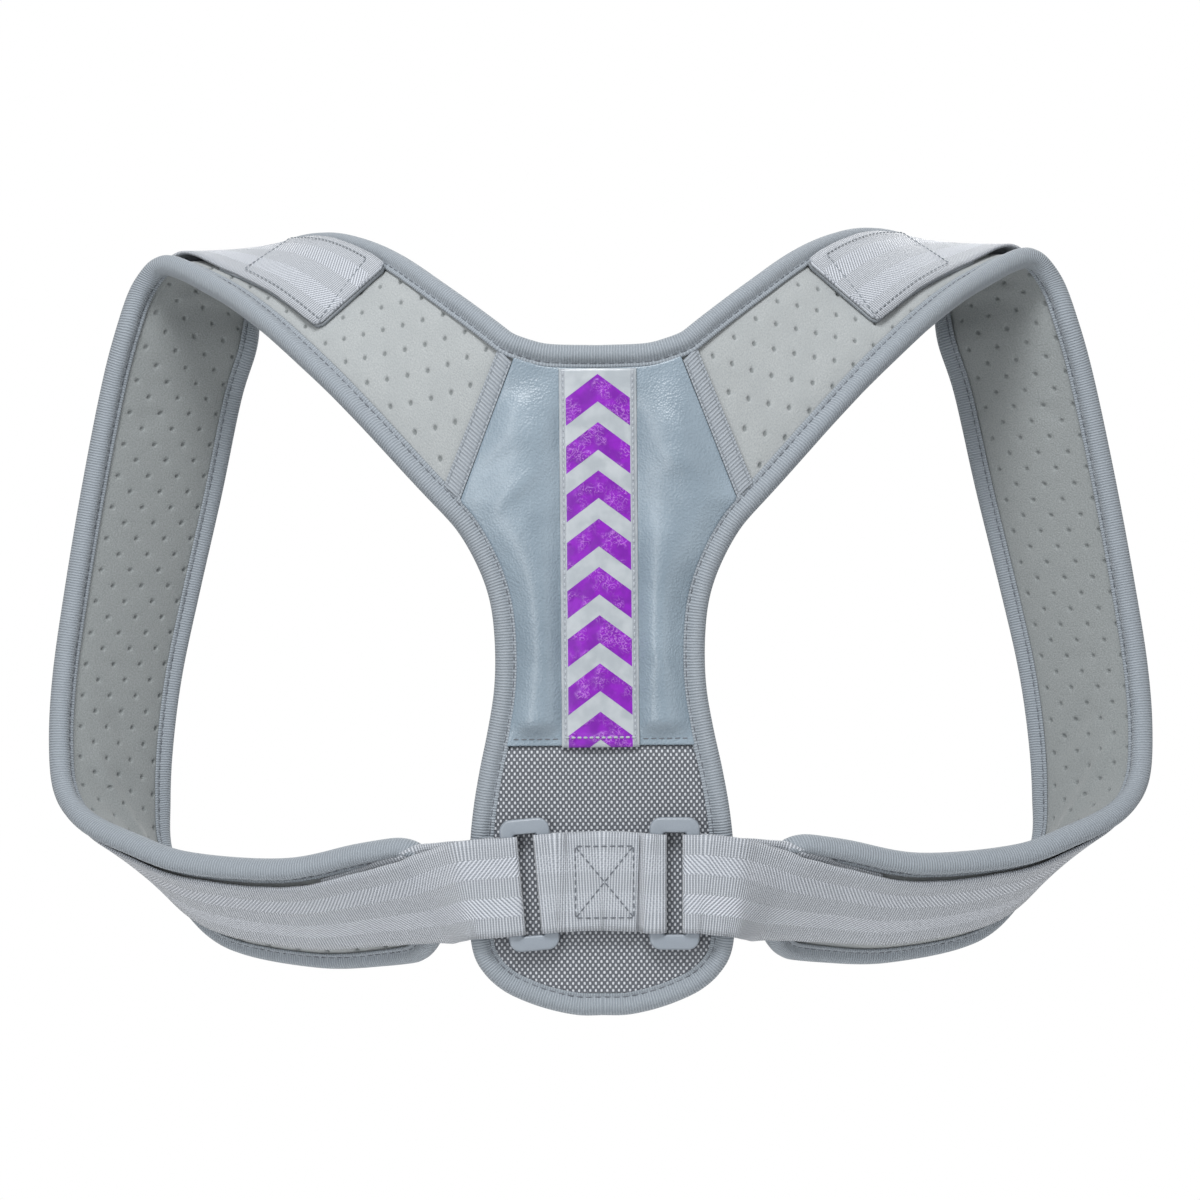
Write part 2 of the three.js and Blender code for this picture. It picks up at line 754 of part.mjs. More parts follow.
// The middle webbing: its top layer starts right of the middle, goes round the left ring's inner
// bar, behind to the right ring's inner bar and back in front, under its own start.
function centreWebbing() {
  const across = new THREE.Vector3(0, 0, -1);
  const left = barFold(ringLeanLeft, -1);
  const flip = ({ x, y, z }) => new THREE.Vector3(-x, y, z);
  const right = barFold(ringLeanRight, -1).map((station) => ({
    point: flip(station.point),
    across: flip(station.across),
  }));
  const at = (x, y) => ({ point: new THREE.Vector3(x, y, -ringDrop), across });
  const clear = (y) => ({
    point: onRing(ringLeanLeft, -(ringWidth / 2 + webClearance), y, 0),
    across: left[0].across,
  });
  const top = backLayer - 2 * webLayer;
  const front = left[left.length - 1].point.y;
  const stations = [
    at(centreOverlapRight, top),
    at(0, top),
    at(-centreOverlapRight, top),
    clear(front),
    ...[...left].reverse(),
    clear(backLayer),
    at(0, backLayer),
    at(barEdge - webClearance, backLayer),
    ...right,
    at(barEdge - webClearance, front),
    at(centreOverlapRight + webClearance, backLayer - webLayer),
    at(-centreOverlapLeft, backLayer - webLayer),
  ];
  return webbingGeometry(withThrough(stations));
}

// Webbing on the outer face of the left pad, at one of its rows. way is 1 where it runs out to
// the pad's end and -1 where it runs back.
function onPad(rows, row, thick, way) {
  const axes = bandFrame(row);
  const across = smoothAtRow(rows, 'across', row) * bandWidth;
  const lift = smoothAtRow(rows, 'lift', row);
  return {
    point: bandPoint(row, across, -(padThick / 2 + lift + thick / 2)),
    across: axes.across,
    through: axes.through.clone().multiplyScalar(way),
  };
}

// Rows of the pad between two of its rows, with those two, so that what lies on it bends with it.
function padRowsBetween(from, to) {
  const between = padStations().map(({ row }) => row).filter((row) => row > from + 0.1 && row < to - 0.1);
  return [from, ...between, to];
}

// The long webbing: sewn under itself to the pad's end, round the ring's outer bar, and back over
// the outside of the whole pad to the shoulder.
function strapWebbing(lean) {
  const under = padRowsBetween(webbingReturnRow, bandEnd);
  const over = padRowsBetween(webbingTopRow, bandEnd).reverse();
  const fold = barFold(lean, 1);
  const across = fold[0].across;
  const clearOfRing = (station) => ({
    point: onRing(lean, ringWidth / 2 + webClearance, station.point.y, 0),
    across,
  });
  const clearOfPanel = (y, drop) => ({
    point: new THREE.Vector3(-(bulbHalf + bindingNose + webClearance), y, -ringDrop - drop),
    across,
  });
  return webbingGeometry(withThrough([
    ...under.map((row) => onPad(underRows, row, webThick, 1)),
    clearOfPanel(backLayer, underSag),
    clearOfRing(fold[0]),
    ...fold,
    clearOfRing(fold[fold.length - 1]),
    clearOfPanel(backLayer - webLayer - gap, overSag),
    ...over.map((row) => onPad(webbingRows, row, webThick, -1)),
  ]));
}

function hookTab() {
  const rows = padRowsBetween(webbingTopRow, hookTabEndRow);
  const flat = webbingRows.map((row) => ({ ...row, lift: hookTabLift }));
  return webbingGeometry(rows.map((row) => onPad(flat, row, hookTabThick, 1)), hookTabThick);
}

const posture = new THREE.Group();
posture.position.y = -(edgeThick / 2 + panelBodyPuff);

function add(name, geometry, material) {
  const mesh = new THREE.Mesh(geometry, material);
  mesh.name = name;
  posture.add(mesh);
}

function addPair(name, geometry, material) {
  add(`${name}_left`, geometry, material);
  add(`${name}_right`, mirrored(geometry), material);
}

add('back_pad', backPad(), finish(colours.lining, 0.95));
add('leather_panel', leatherPanel(), finish(colours.leather, 0.4));
add('reflective_strip', reflectiveStrip(), finish(colours.strip, 0.35, 0.2));
add('mesh_panel', meshPanel(), finish(colours.mesh, 0.8));
add('centre_webbing', centreWebbing(), finish(colours.webbing, 0.7));
addPair('seam_tape', seamTape(), finish(colours.binding, 0.85));
addPair('shoulder_pad', shoulderPad(), finish(colours.pad, 0.95));
addPair('edge_binding', sweepGeometry(bindingStations(), bindingSection()), finish(colours.binding, 0.85));
add('ring_left', ring(ringLeanLeft), finish(colours.ring, 0.5));
add('ring_right', mirrored(ring(ringLeanRight)), finish(colours.ring, 0.5));
add('strap_webbing_left', strapWebbing(ringLeanLeft), finish(colours.webbing, 0.7));
add('strap_webbing_right', mirrored(strapWebbing(ringLeanRight)), finish(colours.webbing, 0.7));
addPair('hook_tab', hookTab(), finish(colours.hook, 0.9));

export default posture;
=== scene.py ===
# %% [markdown]
# # A posture corrector
# A back and shoulder harness, seen from behind. A padded panel lies on the back. Two padded
# bands rise from it, twist over the shoulders and come back under the arms. Webbing pulls the
# ends of the bands to two slotted rings on the panel.
#
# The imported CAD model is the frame. Each soft piece is built again over its CAD solid with the
# same tables of sizes, so that it lies exactly where the solid is, and takes over from it.

# %% Load the frame
import math

import bpy
import numpy as np
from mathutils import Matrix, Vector, noise


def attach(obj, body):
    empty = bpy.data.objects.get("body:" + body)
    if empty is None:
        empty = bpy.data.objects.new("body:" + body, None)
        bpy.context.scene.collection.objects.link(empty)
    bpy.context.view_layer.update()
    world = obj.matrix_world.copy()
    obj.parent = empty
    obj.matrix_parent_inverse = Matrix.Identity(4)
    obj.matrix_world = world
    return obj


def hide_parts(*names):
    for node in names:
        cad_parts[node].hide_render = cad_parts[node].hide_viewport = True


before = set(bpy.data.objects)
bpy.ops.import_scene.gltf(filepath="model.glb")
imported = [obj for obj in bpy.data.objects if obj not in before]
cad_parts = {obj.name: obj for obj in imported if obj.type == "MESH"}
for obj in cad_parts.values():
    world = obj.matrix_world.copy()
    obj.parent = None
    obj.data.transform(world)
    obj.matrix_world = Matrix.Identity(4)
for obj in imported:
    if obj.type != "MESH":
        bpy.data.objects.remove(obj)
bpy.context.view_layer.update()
bpy.ops.object.select_all(action="DESELECT")
MM = 0.001
SIDES = ("left", "right")
MIRROR = np.array([-1, 1, 1])

# %% [markdown]
# ## Camera and light
# The harness was taken from straight behind, level with the upper back, by a long lens, and it
# stands half a degree askew in the picture. A roll of the camera gives that. A soft lamp above,
# one behind, and a tall one on each side draw the highlights of the leather. A pale world fills
# the shadows, and the floor lies below.

# %% Camera
PANEL_SHIFT = 4.3
CAMERA_DISTANCE, CAMERA_SIDE, CAMERA_HEIGHT = 1100, 0.2, 19.5
CAMERA_ROLL = math.radians(0.5)
VIEW_WIDTH = 465.6
SENSOR = 36

bpy.ops.object.camera_add(
    location=(CAMERA_SIDE * MM, -(CAMERA_DISTANCE + PANEL_SHIFT) * MM, CAMERA_HEIGHT * MM),
    rotation=(math.radians(90), CAMERA_ROLL, 0),
)
camera = bpy.context.object
camera.data.sensor_width = SENSOR
camera.data.lens = SENSOR * CAMERA_DISTANCE / VIEW_WIDTH
bpy.context.scene.camera = camera
bpy.context.scene.view_settings.view_transform = "Standard"
print("lens:", round(camera.data.lens, 1), "mm")

# %% Lamps
# place in metres, width, height (none for a square lamp), power in watts
LAMPS = {
    "key": ((-0.12, -0.95, 1.35), 0.6, None, 25),
    "back_rim": ((0.2, 1.3, 0.9), 1.2, None, 14),
    "tall_left": ((-0.7, -1.25, 0.1), 0.34, 1.5, 8.5),
    "wide_right": ((1.1, -1.25, 0.1), 0.9, 1.5, 4.5),
}
for name, (place, width, height, power) in LAMPS.items():
    bpy.ops.object.light_add(type="AREA", location=place)
    lamp = bpy.context.object
    lamp.name = name
    lamp.data.size = width
    if height:
        lamp.data.shape = "RECTANGLE"
        lamp.data.size_y = height
    lamp.data.energy = power
    lamp.rotation_euler = (-Vector(place)).to_track_quat("-Z", "Y").to_euler()

# %% World
# White behind the object, and a weaker white that lights it
BACKGROUND, AMBIENT = 1.0, 0.34
world = bpy.data.worlds.new("studio")
bpy.context.scene.world = world
world.use_nodes = True
sky = world.node_tree
seen = sky.nodes.new("ShaderNodeLightPath").outputs["Is Camera Ray"]
level = sky.nodes.new("ShaderNodeMapRange")
level.inputs["To Min"].default_value = AMBIENT
level.inputs["To Max"].default_value = BACKGROUND
sky.links.new(seen, level.inputs["Value"])
sky.links.new(level.outputs[0], sky.nodes["Background"].inputs["Strength"])
sky.nodes["Background"].inputs["Color"].default_value = (1, 1, 1, 1)

# %% [markdown]
# ## Finishes
# Every finish is a Principled shader with patterns from nodes. Cloth pieces carry a UV map in
# metres, which runs along the piece and across it, so a weave follows its twists. Flat pieces of
# the panel use object coordinates. One function adds a node. The others below put a few nodes
# together into what many cloths share: threads at a pitch, a colour that changes, and a surface
# with its relief.


# %% Nodes
def linear(code):
    """Linear colour from an sRGB hex value."""
    parts = [int(code[i : i + 2], 16) / 255 for i in (1, 3, 5)]
    return [c / 12.92 if c <= 0.04045 else ((c + 0.055) / 1.055) ** 2.4 for c in parts] + [1]


def add_node(tree, kind, inputs=None, output=0, **settings):
    """A new node's output. An input is given a value, a hex colour or another node's output."""
    made = tree.nodes.new("ShaderNode" + kind)
    for field, value in settings.items():
        setattr(made, field, value)
    for socket, value in (inputs or {}).items():
        if isinstance(value, bpy.types.NodeSocket):
            tree.links.new(value, made.inputs[socket])
        else:
            made.inputs[socket].default_value = linear(value) if isinstance(value, str) else value
    return made.outputs[output]


# %% Parts of a finish
MIX_COLOUR = {"output": 2, "data_type": "RGBA"}
SMOOTH_STEP = {"interpolation_type": "SMOOTHSTEP"}


def new_finish(name, roughness, **sockets):
    """An empty finish: its tree, its shader, and the shader's plain values set."""
    finish = bpy.data.materials.new(name)
    finish.use_nodes = True
    shader = finish.node_tree.nodes["Principled BSDF"]
    shader.inputs["Roughness"].default_value = roughness
    for socket, value in sockets.items():
        shader.inputs[socket.replace("_", " ")].default_value = value
    return finish, finish.node_tree, shader


def millimetres(tree, source="UV"):
    """The coordinates in millimetres, whole and as three outputs."""
    place = add_node(tree, "TexCoord", output=source)
    scaled = add_node(tree, "VectorMath", {0: place, "Scale": 1000.0}, operation="SCALE")
    return scaled, add_node(tree, "SeparateXYZ", {0: scaled}).node.outputs


def threads(tree, value, pitch):
    """Threads side by side at a pitch in mm: a cosine, from -1 to 1."""
    turn = add_node(tree, "Math", {0: value, 1: 2 * math.pi / pitch}, operation="MULTIPLY")
    return add_node(tree, "Math", {0: turn}, operation="COSINE")


def graded(tree, value, low, high, first, second, most=1.0):
    """A colour that goes smoothly from the first to the second as a value goes from low to high."""
    ends = {"Value": value, "From Min": low, "From Max": high, "To Max": most}
    share = add_node(tree, "MapRange", ends, **SMOOTH_STEP)
    return add_node(tree, "Mix", {0: share, 6: first, 7: second}, **MIX_COLOUR)


def tinted(tree, value, amount, cloth, tint):
    """A colour moved towards a tint by a value times an amount."""
    share = add_node(tree, "Math", {0: value, 1: amount}, operation="MULTIPLY")
    return add_node(tree, "Mix", {0: share, 6: cloth, 7: tint}, **MIX_COLOUR)


def surface(tree, shader, colour, height, depth_mm):
    """The colour, and a relief of a depth in mm that comes from a height."""
    tree.links.new(colour, shader.inputs["Base Color"])
    bump = add_node(tree, "Bump", {"Height": height, "Distance": depth_mm * MM, "Strength": 1.0})
    tree.links.new(bump, shader.inputs["Normal"])


# %% [markdown]
# ### Suede-like knit of the pads
# A brushed polyester over foam. It has no gloss, a fine nap, and slow patches where the nap lies
# another way. The side towards the wearer is the same fabric in darker tones, as painted shade.
# The punched holes are in the mesh, and an attribute says where their floor is, so that it can be
# painted darker, as painted shade in the recess.

# %% Brushed fabric
NAP_GRAIN, NAP_PATCH = 0.7, 14


def brushed_fabric(name, light, dark, hole):
    finish, tree, shader = new_finish(name, 0.95, Sheen_Weight=0.25, Sheen_Roughness=0.6)
    place, _ = millimetres(tree)
    nap = add_node(tree, "TexNoise", {"Vector": place, "Scale": 1 / NAP_GRAIN, "Detail": 3.0})
    patches = add_node(tree, "TexNoise", {"Vector": place, "Scale": 1 / NAP_PATCH, "Detail": 2.0})
    # The inside attribute picks the face towards the wearer, which gets darker tones: painted shade.
    inside = add_node(tree, "Attribute", output="Fac", attribute_name="inside")
    # The hole attribute picks each hole's floor, which is painted darker: painted shade in the recess.
    floor = add_node(tree, "Attribute", output="Fac", attribute_name="hole")
    outer = graded(tree, nap, 0.25, 0.75, dark, light)
    outer = graded(tree, patches, 0.35, 0.7, outer, dark, 0.35)
    # Darker tones of the face towards the wearer: painted shade.
    inner = graded(tree, nap, 0.25, 0.75, "#777c7d", "#8b9091")
    cloth = add_node(tree, "Mix", {0: inside, 6: outer, 7: inner}, **MIX_COLOUR)
    cloth = add_node(tree, "Mix", {0: floor, 6: cloth, 7: hole}, **MIX_COLOUR)
    surface(tree, shader, cloth, nap, 0.25)
    return finish


suede = brushed_fabric("brushed polyester over foam", "#a1a5a6", "#8f9496", "#727778")
# The core's finish is the pad fabric in darker tones, as painted shade.
lining = brushed_fabric("brushed polyester lining", "#8b9091", "#7c8182", "#5f6465")

# %% [markdown]
# ### Grosgrain binding
# A ribbed polyester ribbon. Its ribs run across it, about 1.1 mm apart, which is a little coarser
# than the real ones so that they still show. The seam tapes are a coarser ribbon of the same kind.


# %% Grosgrain
def grosgrain(name, light, dark, pitch):
    finish, tree, shader = new_finish(name, 0.75, Sheen_Weight=0.2)
    place, (along, _, _) = millimetres(tree)
    noises = {}
    for part, size in (("sway", 2.5), ("fibre", 0.5), ("patch", 9.0)):
        noises[part] = add_node(tree, "TexNoise", {"Vector": place, "Scale": 1 / size, "Detail": 2.0})
    sway = add_node(tree, "Math", {0: noises["sway"], 1: 0.5, 2: along}, operation="MULTIPLY_ADD")
    rib = threads(tree, sway, pitch)
    cloth = graded(tree, rib, -0.9, 0.8, dark, light)
    cloth = tinted(tree, noises["patch"], 0.3, cloth, dark)
    cloth = graded(tree, noises["fibre"], 0.55, 0.8, cloth, "#c3c8cc", 0.3)
    surface(tree, shader, cloth, rib, 0.12)
    return finish


binding_ribbon = grosgrain("grosgrain binding", "#949ca4", "#7d858d", 1.1)
tape_ribbon = grosgrain("grosgrain seam tape", "#969da4", "#838a92", 1.4)

# %% [markdown]
# ### Synthetic leather
# Polyurethane on a knit, embossed with a fine pebble. It is semi-gloss, so the soft lights draw
# long highlights down its swelling. Faint creases lie under the pebble.

# %% Leather
PEBBLE, LEATHER_CREASE, LEATHER_PATCH = 0.9, 7, 22

leather, tree, shader = new_finish(
    "polyurethane leather", 0.36, IOR=1.5, Coat_Weight=0.48, Coat_Roughness=0.27
)
place, _ = millimetres(tree, "Object")
patches = add_node(tree, "TexNoise", {"Vector": place, "Scale": 1 / LEATHER_PATCH, "Detail": 2.0})
creases = add_node(tree, "TexNoise", {"Vector": place, "Scale": 1 / LEATHER_CREASE, "Detail": 2.0})
pebble = add_node(tree, "TexVoronoi", {"Vector": place, "Scale": 1 / PEBBLE, "Randomness": 1.0})
creased = add_node(tree, "Bump", {"Height": creases, "Distance": 0.22 * MM, "Strength": 1.0})
surface(tree, shader, graded(tree, patches, 0.3, 0.7, "#768591", "#82919d"), pebble, 0.2)
pebble_bump = shader.inputs["Normal"].links[0].from_node
tree.links.new(creased, pebble_bump.inputs["Normal"])

# %% [markdown]
# ### Reflective strip
# A silver vinyl tape with purple chevrons printed under a clear gloss film, which has crinkled.
# The chevrons point up, 18.65 mm from tip to tip. A darker line is painted where each side is
# sewn: painted shade of the sunken seam.

# %% Strip
CHEVRON_TIP = 106.9
CHEVRON_PITCH = 18.65
CHEVRON_HEIGHT = 10.7
CHEVRON_SLOPE = 0.75
PRINT_HALF = 12.4
SEWN_LINE = 13.5
SOFT_EDGE = 0.1

strip_film, tree, shader = new_finish(
    "printed reflective vinyl", 0.4, Coat_Weight=0.15, Coat_Roughness=0.15
)
place, (across, _, up) = millimetres(tree, "Object")
offset = add_node(tree, "Math", {0: across}, operation="ABSOLUTE")
arm = add_node(tree, "Math", {0: offset, 1: CHEVRON_SLOPE, 2: up}, operation="MULTIPLY_ADD")
below_tip = add_node(tree, "Math", {0: CHEVRON_TIP, 1: arm}, operation="SUBTRACT")
turn = add_node(tree, "Math", {0: below_tip, 1: CHEVRON_PITCH}, operation="FLOORED_MODULO")
printed = 1.0
for value, limit, way in ((below_tip, 0, 1), (turn, CHEVRON_HEIGHT, -1), (offset, PRINT_HALF, -1)):
    ends = {"Value": value, "From Min": limit - way * SOFT_EDGE, "From Max": limit + way * SOFT_EDGE}
    edge = add_node(tree, "MapRange", ends, **SMOOTH_STEP)
    printed = add_node(tree, "Math", {0: printed, 1: edge}, operation="MULTIPLY")

# %% Crinkled film
FILM_NOISES = {"crinkle": (1.5, 1.5), "area": (8.0, 2.0), "ink": (5.0, 2.0), "tape": (6.0, 2.0)}

noises = {}
for part, (size, detail) in FILM_NOISES.items():
    noises[part] = add_node(tree, "TexNoise", {"Vector": place, "Scale": 1 / size, "Detail": detail})
ends = {"Value": noises["area"], "From Min": 0.46, "From Max": 0.62}
area = add_node(tree, "MapRange", ends, **SMOOTH_STEP)
crinkled = add_node(tree, "Math", {0: area, 1: printed}, operation="MULTIPLY")
middle = add_node(tree, "Math", {0: noises["crinkle"], 1: 0.5}, operation="SUBTRACT")
middle = add_node(tree, "Math", {0: middle}, operation="ABSOLUTE")
ridge = add_node(tree, "MapRange", {"Value": middle, "From Min": 0.05, "From Max": 0.0}, **SMOOTH_STEP)
# The crests of the crinkles on the purple are painted pale pink: a painted highlight.
shine = add_node(tree, "Math", {0: ridge, 1: crinkled}, operation="MULTIPLY")
purple = graded(tree, noises["ink"], 0.35, 0.65, "#6c0096", "#7e06aa")
purple = tinted(tree, shine, 0.4, purple, "#cf9ae0")
silver = graded(tree, noises["tape"], 0.3, 0.7, "#9ba2a8", "#aab0b5")
# A darker line along each sewn edge: painted shade of the sunken seam.
from_seam = add_node(tree, "Math", {0: offset, 1: SEWN_LINE}, operation="SUBTRACT")
from_seam = add_node(tree, "Math", {0: from_seam}, operation="ABSOLUTE")
silver = graded(tree, from_seam, 1.0, 0.6, silver, "#858b93", 0.7)
film = add_node(tree, "Mix", {0: printed, 6: silver, 7: purple}, **MIX_COLOUR)
depth = add_node(tree, "Math", {0: crinkled, 1: 0.9, 2: 0.1}, operation="MULTIPLY_ADD")
wrinkle = add_node(tree, "Math", {0: noises["crinkle"], 1: depth}, operation="MULTIPLY")
surface(tree, shader, film, wrinkle, 0.5)

# %% [markdown]
# ### Woven mesh
# A coarse nylon mesh: pale knots, 2.2 mm apart and staggered, over a dark ground.

# %% Mesh
KNOT_ACROSS, KNOT_UP = 2.2, 2.8

woven_mesh, tree, shader = new_finish("nylon mesh", 0.6)
place, (across, _, up) = millimetres(tree, "Object")
sway = add_node(tree, "TexNoise", {"Vector": place, "Scale": 1 / 9, "Detail": 2.0})
sway = add_node(tree, "Math", {0: sway, 1: 0.8, 2: across}, operation="MULTIPLY_ADD")
columns, rows = threads(tree, sway, KNOT_ACROSS), threads(tree, up, KNOT_UP)
knots = add_node(tree, "Math", {0: columns, 1: rows}, operation="MULTIPLY")
fibre = add_node(tree, "TexNoise", {"Vector": place, "Scale": 1 / 0.5, "Detail": 2.0})
weave = graded(tree, knots, 0.02, 0.68, "#4d5158", "#c6cad0")
weave = tinted(tree, fibre, 0.25, weave, "#6c7178")
raised = add_node(tree, "MapRange", {"Value": knots, "From Min": -0.6, "From Max": 1.0}, **SMOOTH_STEP)
surface(tree, shader, weave, raised, 0.35)

# %% [markdown]
# ### Webbing
# Nylon webbing, 38 mm wide, in five bands: three ribbed ones and two of twill whose diagonals
# run opposite ways. The twill catches more light. The middle piece shows the other side, where
# the twill is faint.

# %% Webbing
WEB_BAND = 7.6
WEB_RIB, WEB_TWILL, WEB_WARP = 1.1, 1.7, 0.9
TWILL_LEAN = 0.9


def nylon_webbing(name, twill_share):
    finish, tree, shader = new_finish(name, 0.5, Sheen_Weight=0.3)
    place, (along, across, _) = millimetres(tree)
    band = add_node(tree, "Math", {0: across, 1: WEB_BAND}, operation="DIVIDE")
    band = add_node(tree, "Math", {0: band}, operation="ROUND")
    odd = add_node(tree, "Math", {0: band, 1: 2.0}, operation="MODULO")
    odd = add_node(tree, "Math", {0: odd}, operation="ABSOLUTE")
    odd = add_node(tree, "Math", {0: odd, 1: twill_share}, operation="MULTIPLY")
    slant = add_node(tree, "Math", {0: band, 1: across}, operation="MULTIPLY")
    slant = add_node(tree, "Math", {0: slant, 1: TWILL_LEAN, 2: along}, operation="MULTIPLY_ADD")
    rib, twill, warp = (
        threads(tree, value, pitch)
        for value, pitch in ((along, WEB_RIB), (slant, WEB_TWILL), (across, WEB_WARP))
    )
    change = add_node(tree, "Math", {0: twill, 1: rib}, operation="SUBTRACT")
    weft = add_node(tree, "Math", {0: change, 1: odd, 2: rib}, operation="MULTIPLY_ADD")
    grain = add_node(tree, "Math", {0: warp, 1: 0.25, 2: weft}, operation="MULTIPLY_ADD")
    ribbed = graded(tree, grain, -0.9, 0.7, "#7b8189", "#babfc6")
    twilled = graded(tree, grain, -1.0, 0.5, "#7f858e", "#c4c9d1")
    cloth = add_node(tree, "Mix", {0: odd, 6: ribbed, 7: twilled}, **MIX_COLOUR)
    wear = add_node(tree, "TexNoise", {"Vector": place, "Scale": 1 / 7, "Detail": 3.0})
    surface(tree, shader, tinted(tree, wear, 0.25, cloth, "#a4a9b2"), grain, 0.16)
    return finish


webbing_cloth = nylon_webbing("herringbone nylon webbing", 1.0)
middle_cloth = nylon_webbing("plain side of nylon webbing", 0.2)

# %% [markdown]
# ### Rings, hook tape and thread
# The rings are moulded in acetal, with a satin skin. The hook tape is a stiff dark weave, and the
# sewing threads are bonded nylon: pale on the strip, grey on tapes and tabs, dark elsewhere.


# %% Rings and threads
def grained(name, grain, dark, light, depth_mm, roughness, **sockets):
    """A plain finish whose colour and relief both come from one fine grain."""
    finish, tree, shader = new_finish(name, roughness, **sockets)
    place, _ = millimetres(tree, "Object")
    skin = add_node(tree, "TexNoise", {"Vector": place, "Scale": 1 / grain, "Detail": 2.0})
    colour = add_node(tree, "Mix", {0: skin, 6: dark, 7: light}, **MIX_COLOUR)
    surface(tree, shader, colour, skin, depth_mm)
    return finish


acetal = grained("moulded acetal", 0.6, "#7f8790", "#8b939c", 0.02, 0.38, IOR=1.48)
pale_thread, grey_thread, dark_thread = (
    grained(shade + " bonded thread", 0.35, dark, light, 0.05, 0.6, Sheen_Weight=0.2)
    for shade, dark, light in (
        ("pale", "#868d95", "#b4bac0"), ("grey", "#62696f", "#858c94"), ("dark", "#474c54", "#6d737b"),
    )
)

# %% Hook tape
HOOK_PITCH = 1.6

hook_tape, tree, shader = new_finish("hook tape", 0.9)
_, (along, across, _) = millimetres(tree)
hooks = add_node(
    tree, "Math", {0: threads(tree, along, HOOK_PITCH), 1: threads(tree, across, HOOK_PITCH)},
    operation="MULTIPLY",
)
surface(tree, shader, graded(tree, hooks, -0.4, 0.8, "#83898f", "#a4a9ae"), hooks, 0.3)
print("finishes:", len(bpy.data.materials))

# %% [markdown]
# ## Shape of a shoulder band
# A table of rows gives the middle line of the left band from the seam to its free end, as shares
# of the harness's reach, and the way in which its width points at each row. A smooth curve runs
# through the rows. The right band is the left one mirrored.

# %% Band table
HALF_SPAN, DEPTH, RISE, BAND_WIDTH = 225, 130, 170, 65
# out, back, up, turn, tilt, width
BAND_ROWS = np.array([
    (0.206, 0.000, 0.518, 0, 69, 1.158), (0.336, 0.104, 0.682, 15, 58, 1.014),
    (0.435, 0.238, 0.796, 33, 51, 0.981), (0.536, 0.415, 0.884, 50, 39, 0.963),
    (0.633, 0.604, 0.932, 59, 22, 0.955), (0.718, 0.754, 0.942, 55, 1, 0.983),
    (0.753, 0.800, 0.870, 46, -9, 1.017), (0.773, 0.785, 0.770, 37, -4, 1.020),
    (0.804, 0.800, 0.633, 37, 1, 1.022), (0.843, 0.808, 0.390, 39, 1, 1.029),
    (0.881, 0.800, 0.140, 42, 0, 1.006), (0.907, 0.781, -0.060, 45, -1, 0.987),
    (0.917, 0.750, -0.227, 48, -4, 0.974), (0.912, 0.708, -0.360, 53, -9, 0.974),
    (0.882, 0.635, -0.460, 63, -19, 0.970), (0.810, 0.550, -0.538, 70, -30, 0.970),
    (0.710, 0.454, -0.603, 72, -40, 0.975), (0.538, 0.338, -0.624, 75, -45, 0.985),
    (0.404, 0.250, -0.598, 74, -52, 0.980), (0.290, 0.150, -0.570, 80, -62, 0.880),
])
BAND_END = len(BAND_ROWS) - 1


# %% Helpers for lines
def unit(vectors):
    return vectors / np.linalg.norm(vectors, axis=-1, keepdims=True)


def lengths_along(points):
    """The length from the first point to each point, along the line through them."""
    return np.concatenate([[0], np.cumsum(np.linalg.norm(np.diff(points, axis=0), axis=1))])


def at_lengths(lengths, along, values):
    """Columns of values, known at the lengths along a line, read at other lengths."""
    return np.stack([np.interp(lengths, along, column) for column in values.T], -1)


def softened(values, reach):
    """Columns of values with their corners rounded over some points to each side."""
    kernel = np.hanning(2 * reach + 3)[1:-1]
    kernel /= kernel.sum()
    padded = (np.pad(column, reach, "reflect", reflect_type="odd") for column in values.T)
    return np.stack([np.convolve(column, kernel, "valid") for column in padded], -1)


def smoothstep(value, low, high):
    share = np.clip((np.asarray(value, float) - low) / (high - low), 0, 1)
    return share * share * (3 - 2 * share)


def smooth(values, place):
    """Value of a column at fractional rows, on a smooth curve through the rows."""
    values, place = np.asarray(values, float), np.asarray(place, float)
    last = len(values) - 1
    i = np.clip(np.floor(place).astype(int), 0, last - 1)
    t = place - i
    p1, p2 = values[i], values[i + 1]
    p0 = np.where(i > 0, values[np.maximum(i - 1, 0)], 2 * p1 - p2)
    p3 = np.where(i + 2 <= last, values[np.minimum(i + 2, last)], 2 * p2 - p1)
    m1, m2 = (p2 - p0) / 2, (p3 - p1) / 2
    return (
        (2 * t**3 - 3 * t**2 + 1) * p1
        + (t**3 - 2 * t**2 + t) * m1
        + (-2 * t**3 + 3 * t**2) * p2
        + (t**3 - t**2) * m2
    )


# %% Points on a band
ROW_STEP = 0.02


def band_middle(row):
    """Points on the middle line of the left band, in mm."""
    out, back, up = (smooth(BAND_ROWS[:, i], row) for i in range(3))
    return np.stack([-out * HALF_SPAN, back * DEPTH, up * RISE], -1)


def band_axes(row):
    """Directions along the band, across it to the neck edge, and through it to the wearer."""
    row = np.asarray(row, float)
    ahead = band_middle(np.minimum(row + ROW_STEP, BAND_END))
    along = unit(ahead - band_middle(np.maximum(row - ROW_STEP, 0)))
    start = np.clip(1 - row, 0, 1)[..., None]
    along = unit(along * (1 - start) + along * np.array([1, 0, 1]) * start)
    turn, tilt = (np.radians(smooth(BAND_ROWS[:, i], row)) for i in (3, 4))
    across = np.stack([np.cos(tilt) * np.cos(turn), np.cos(tilt) * np.sin(turn), np.sin(tilt)], -1)
    return along, across, unit(np.cross(along, across))


LAST_STRETCH = float(np.linalg.norm(band_middle(BAND_END) - band_middle(BAND_END - 1)))


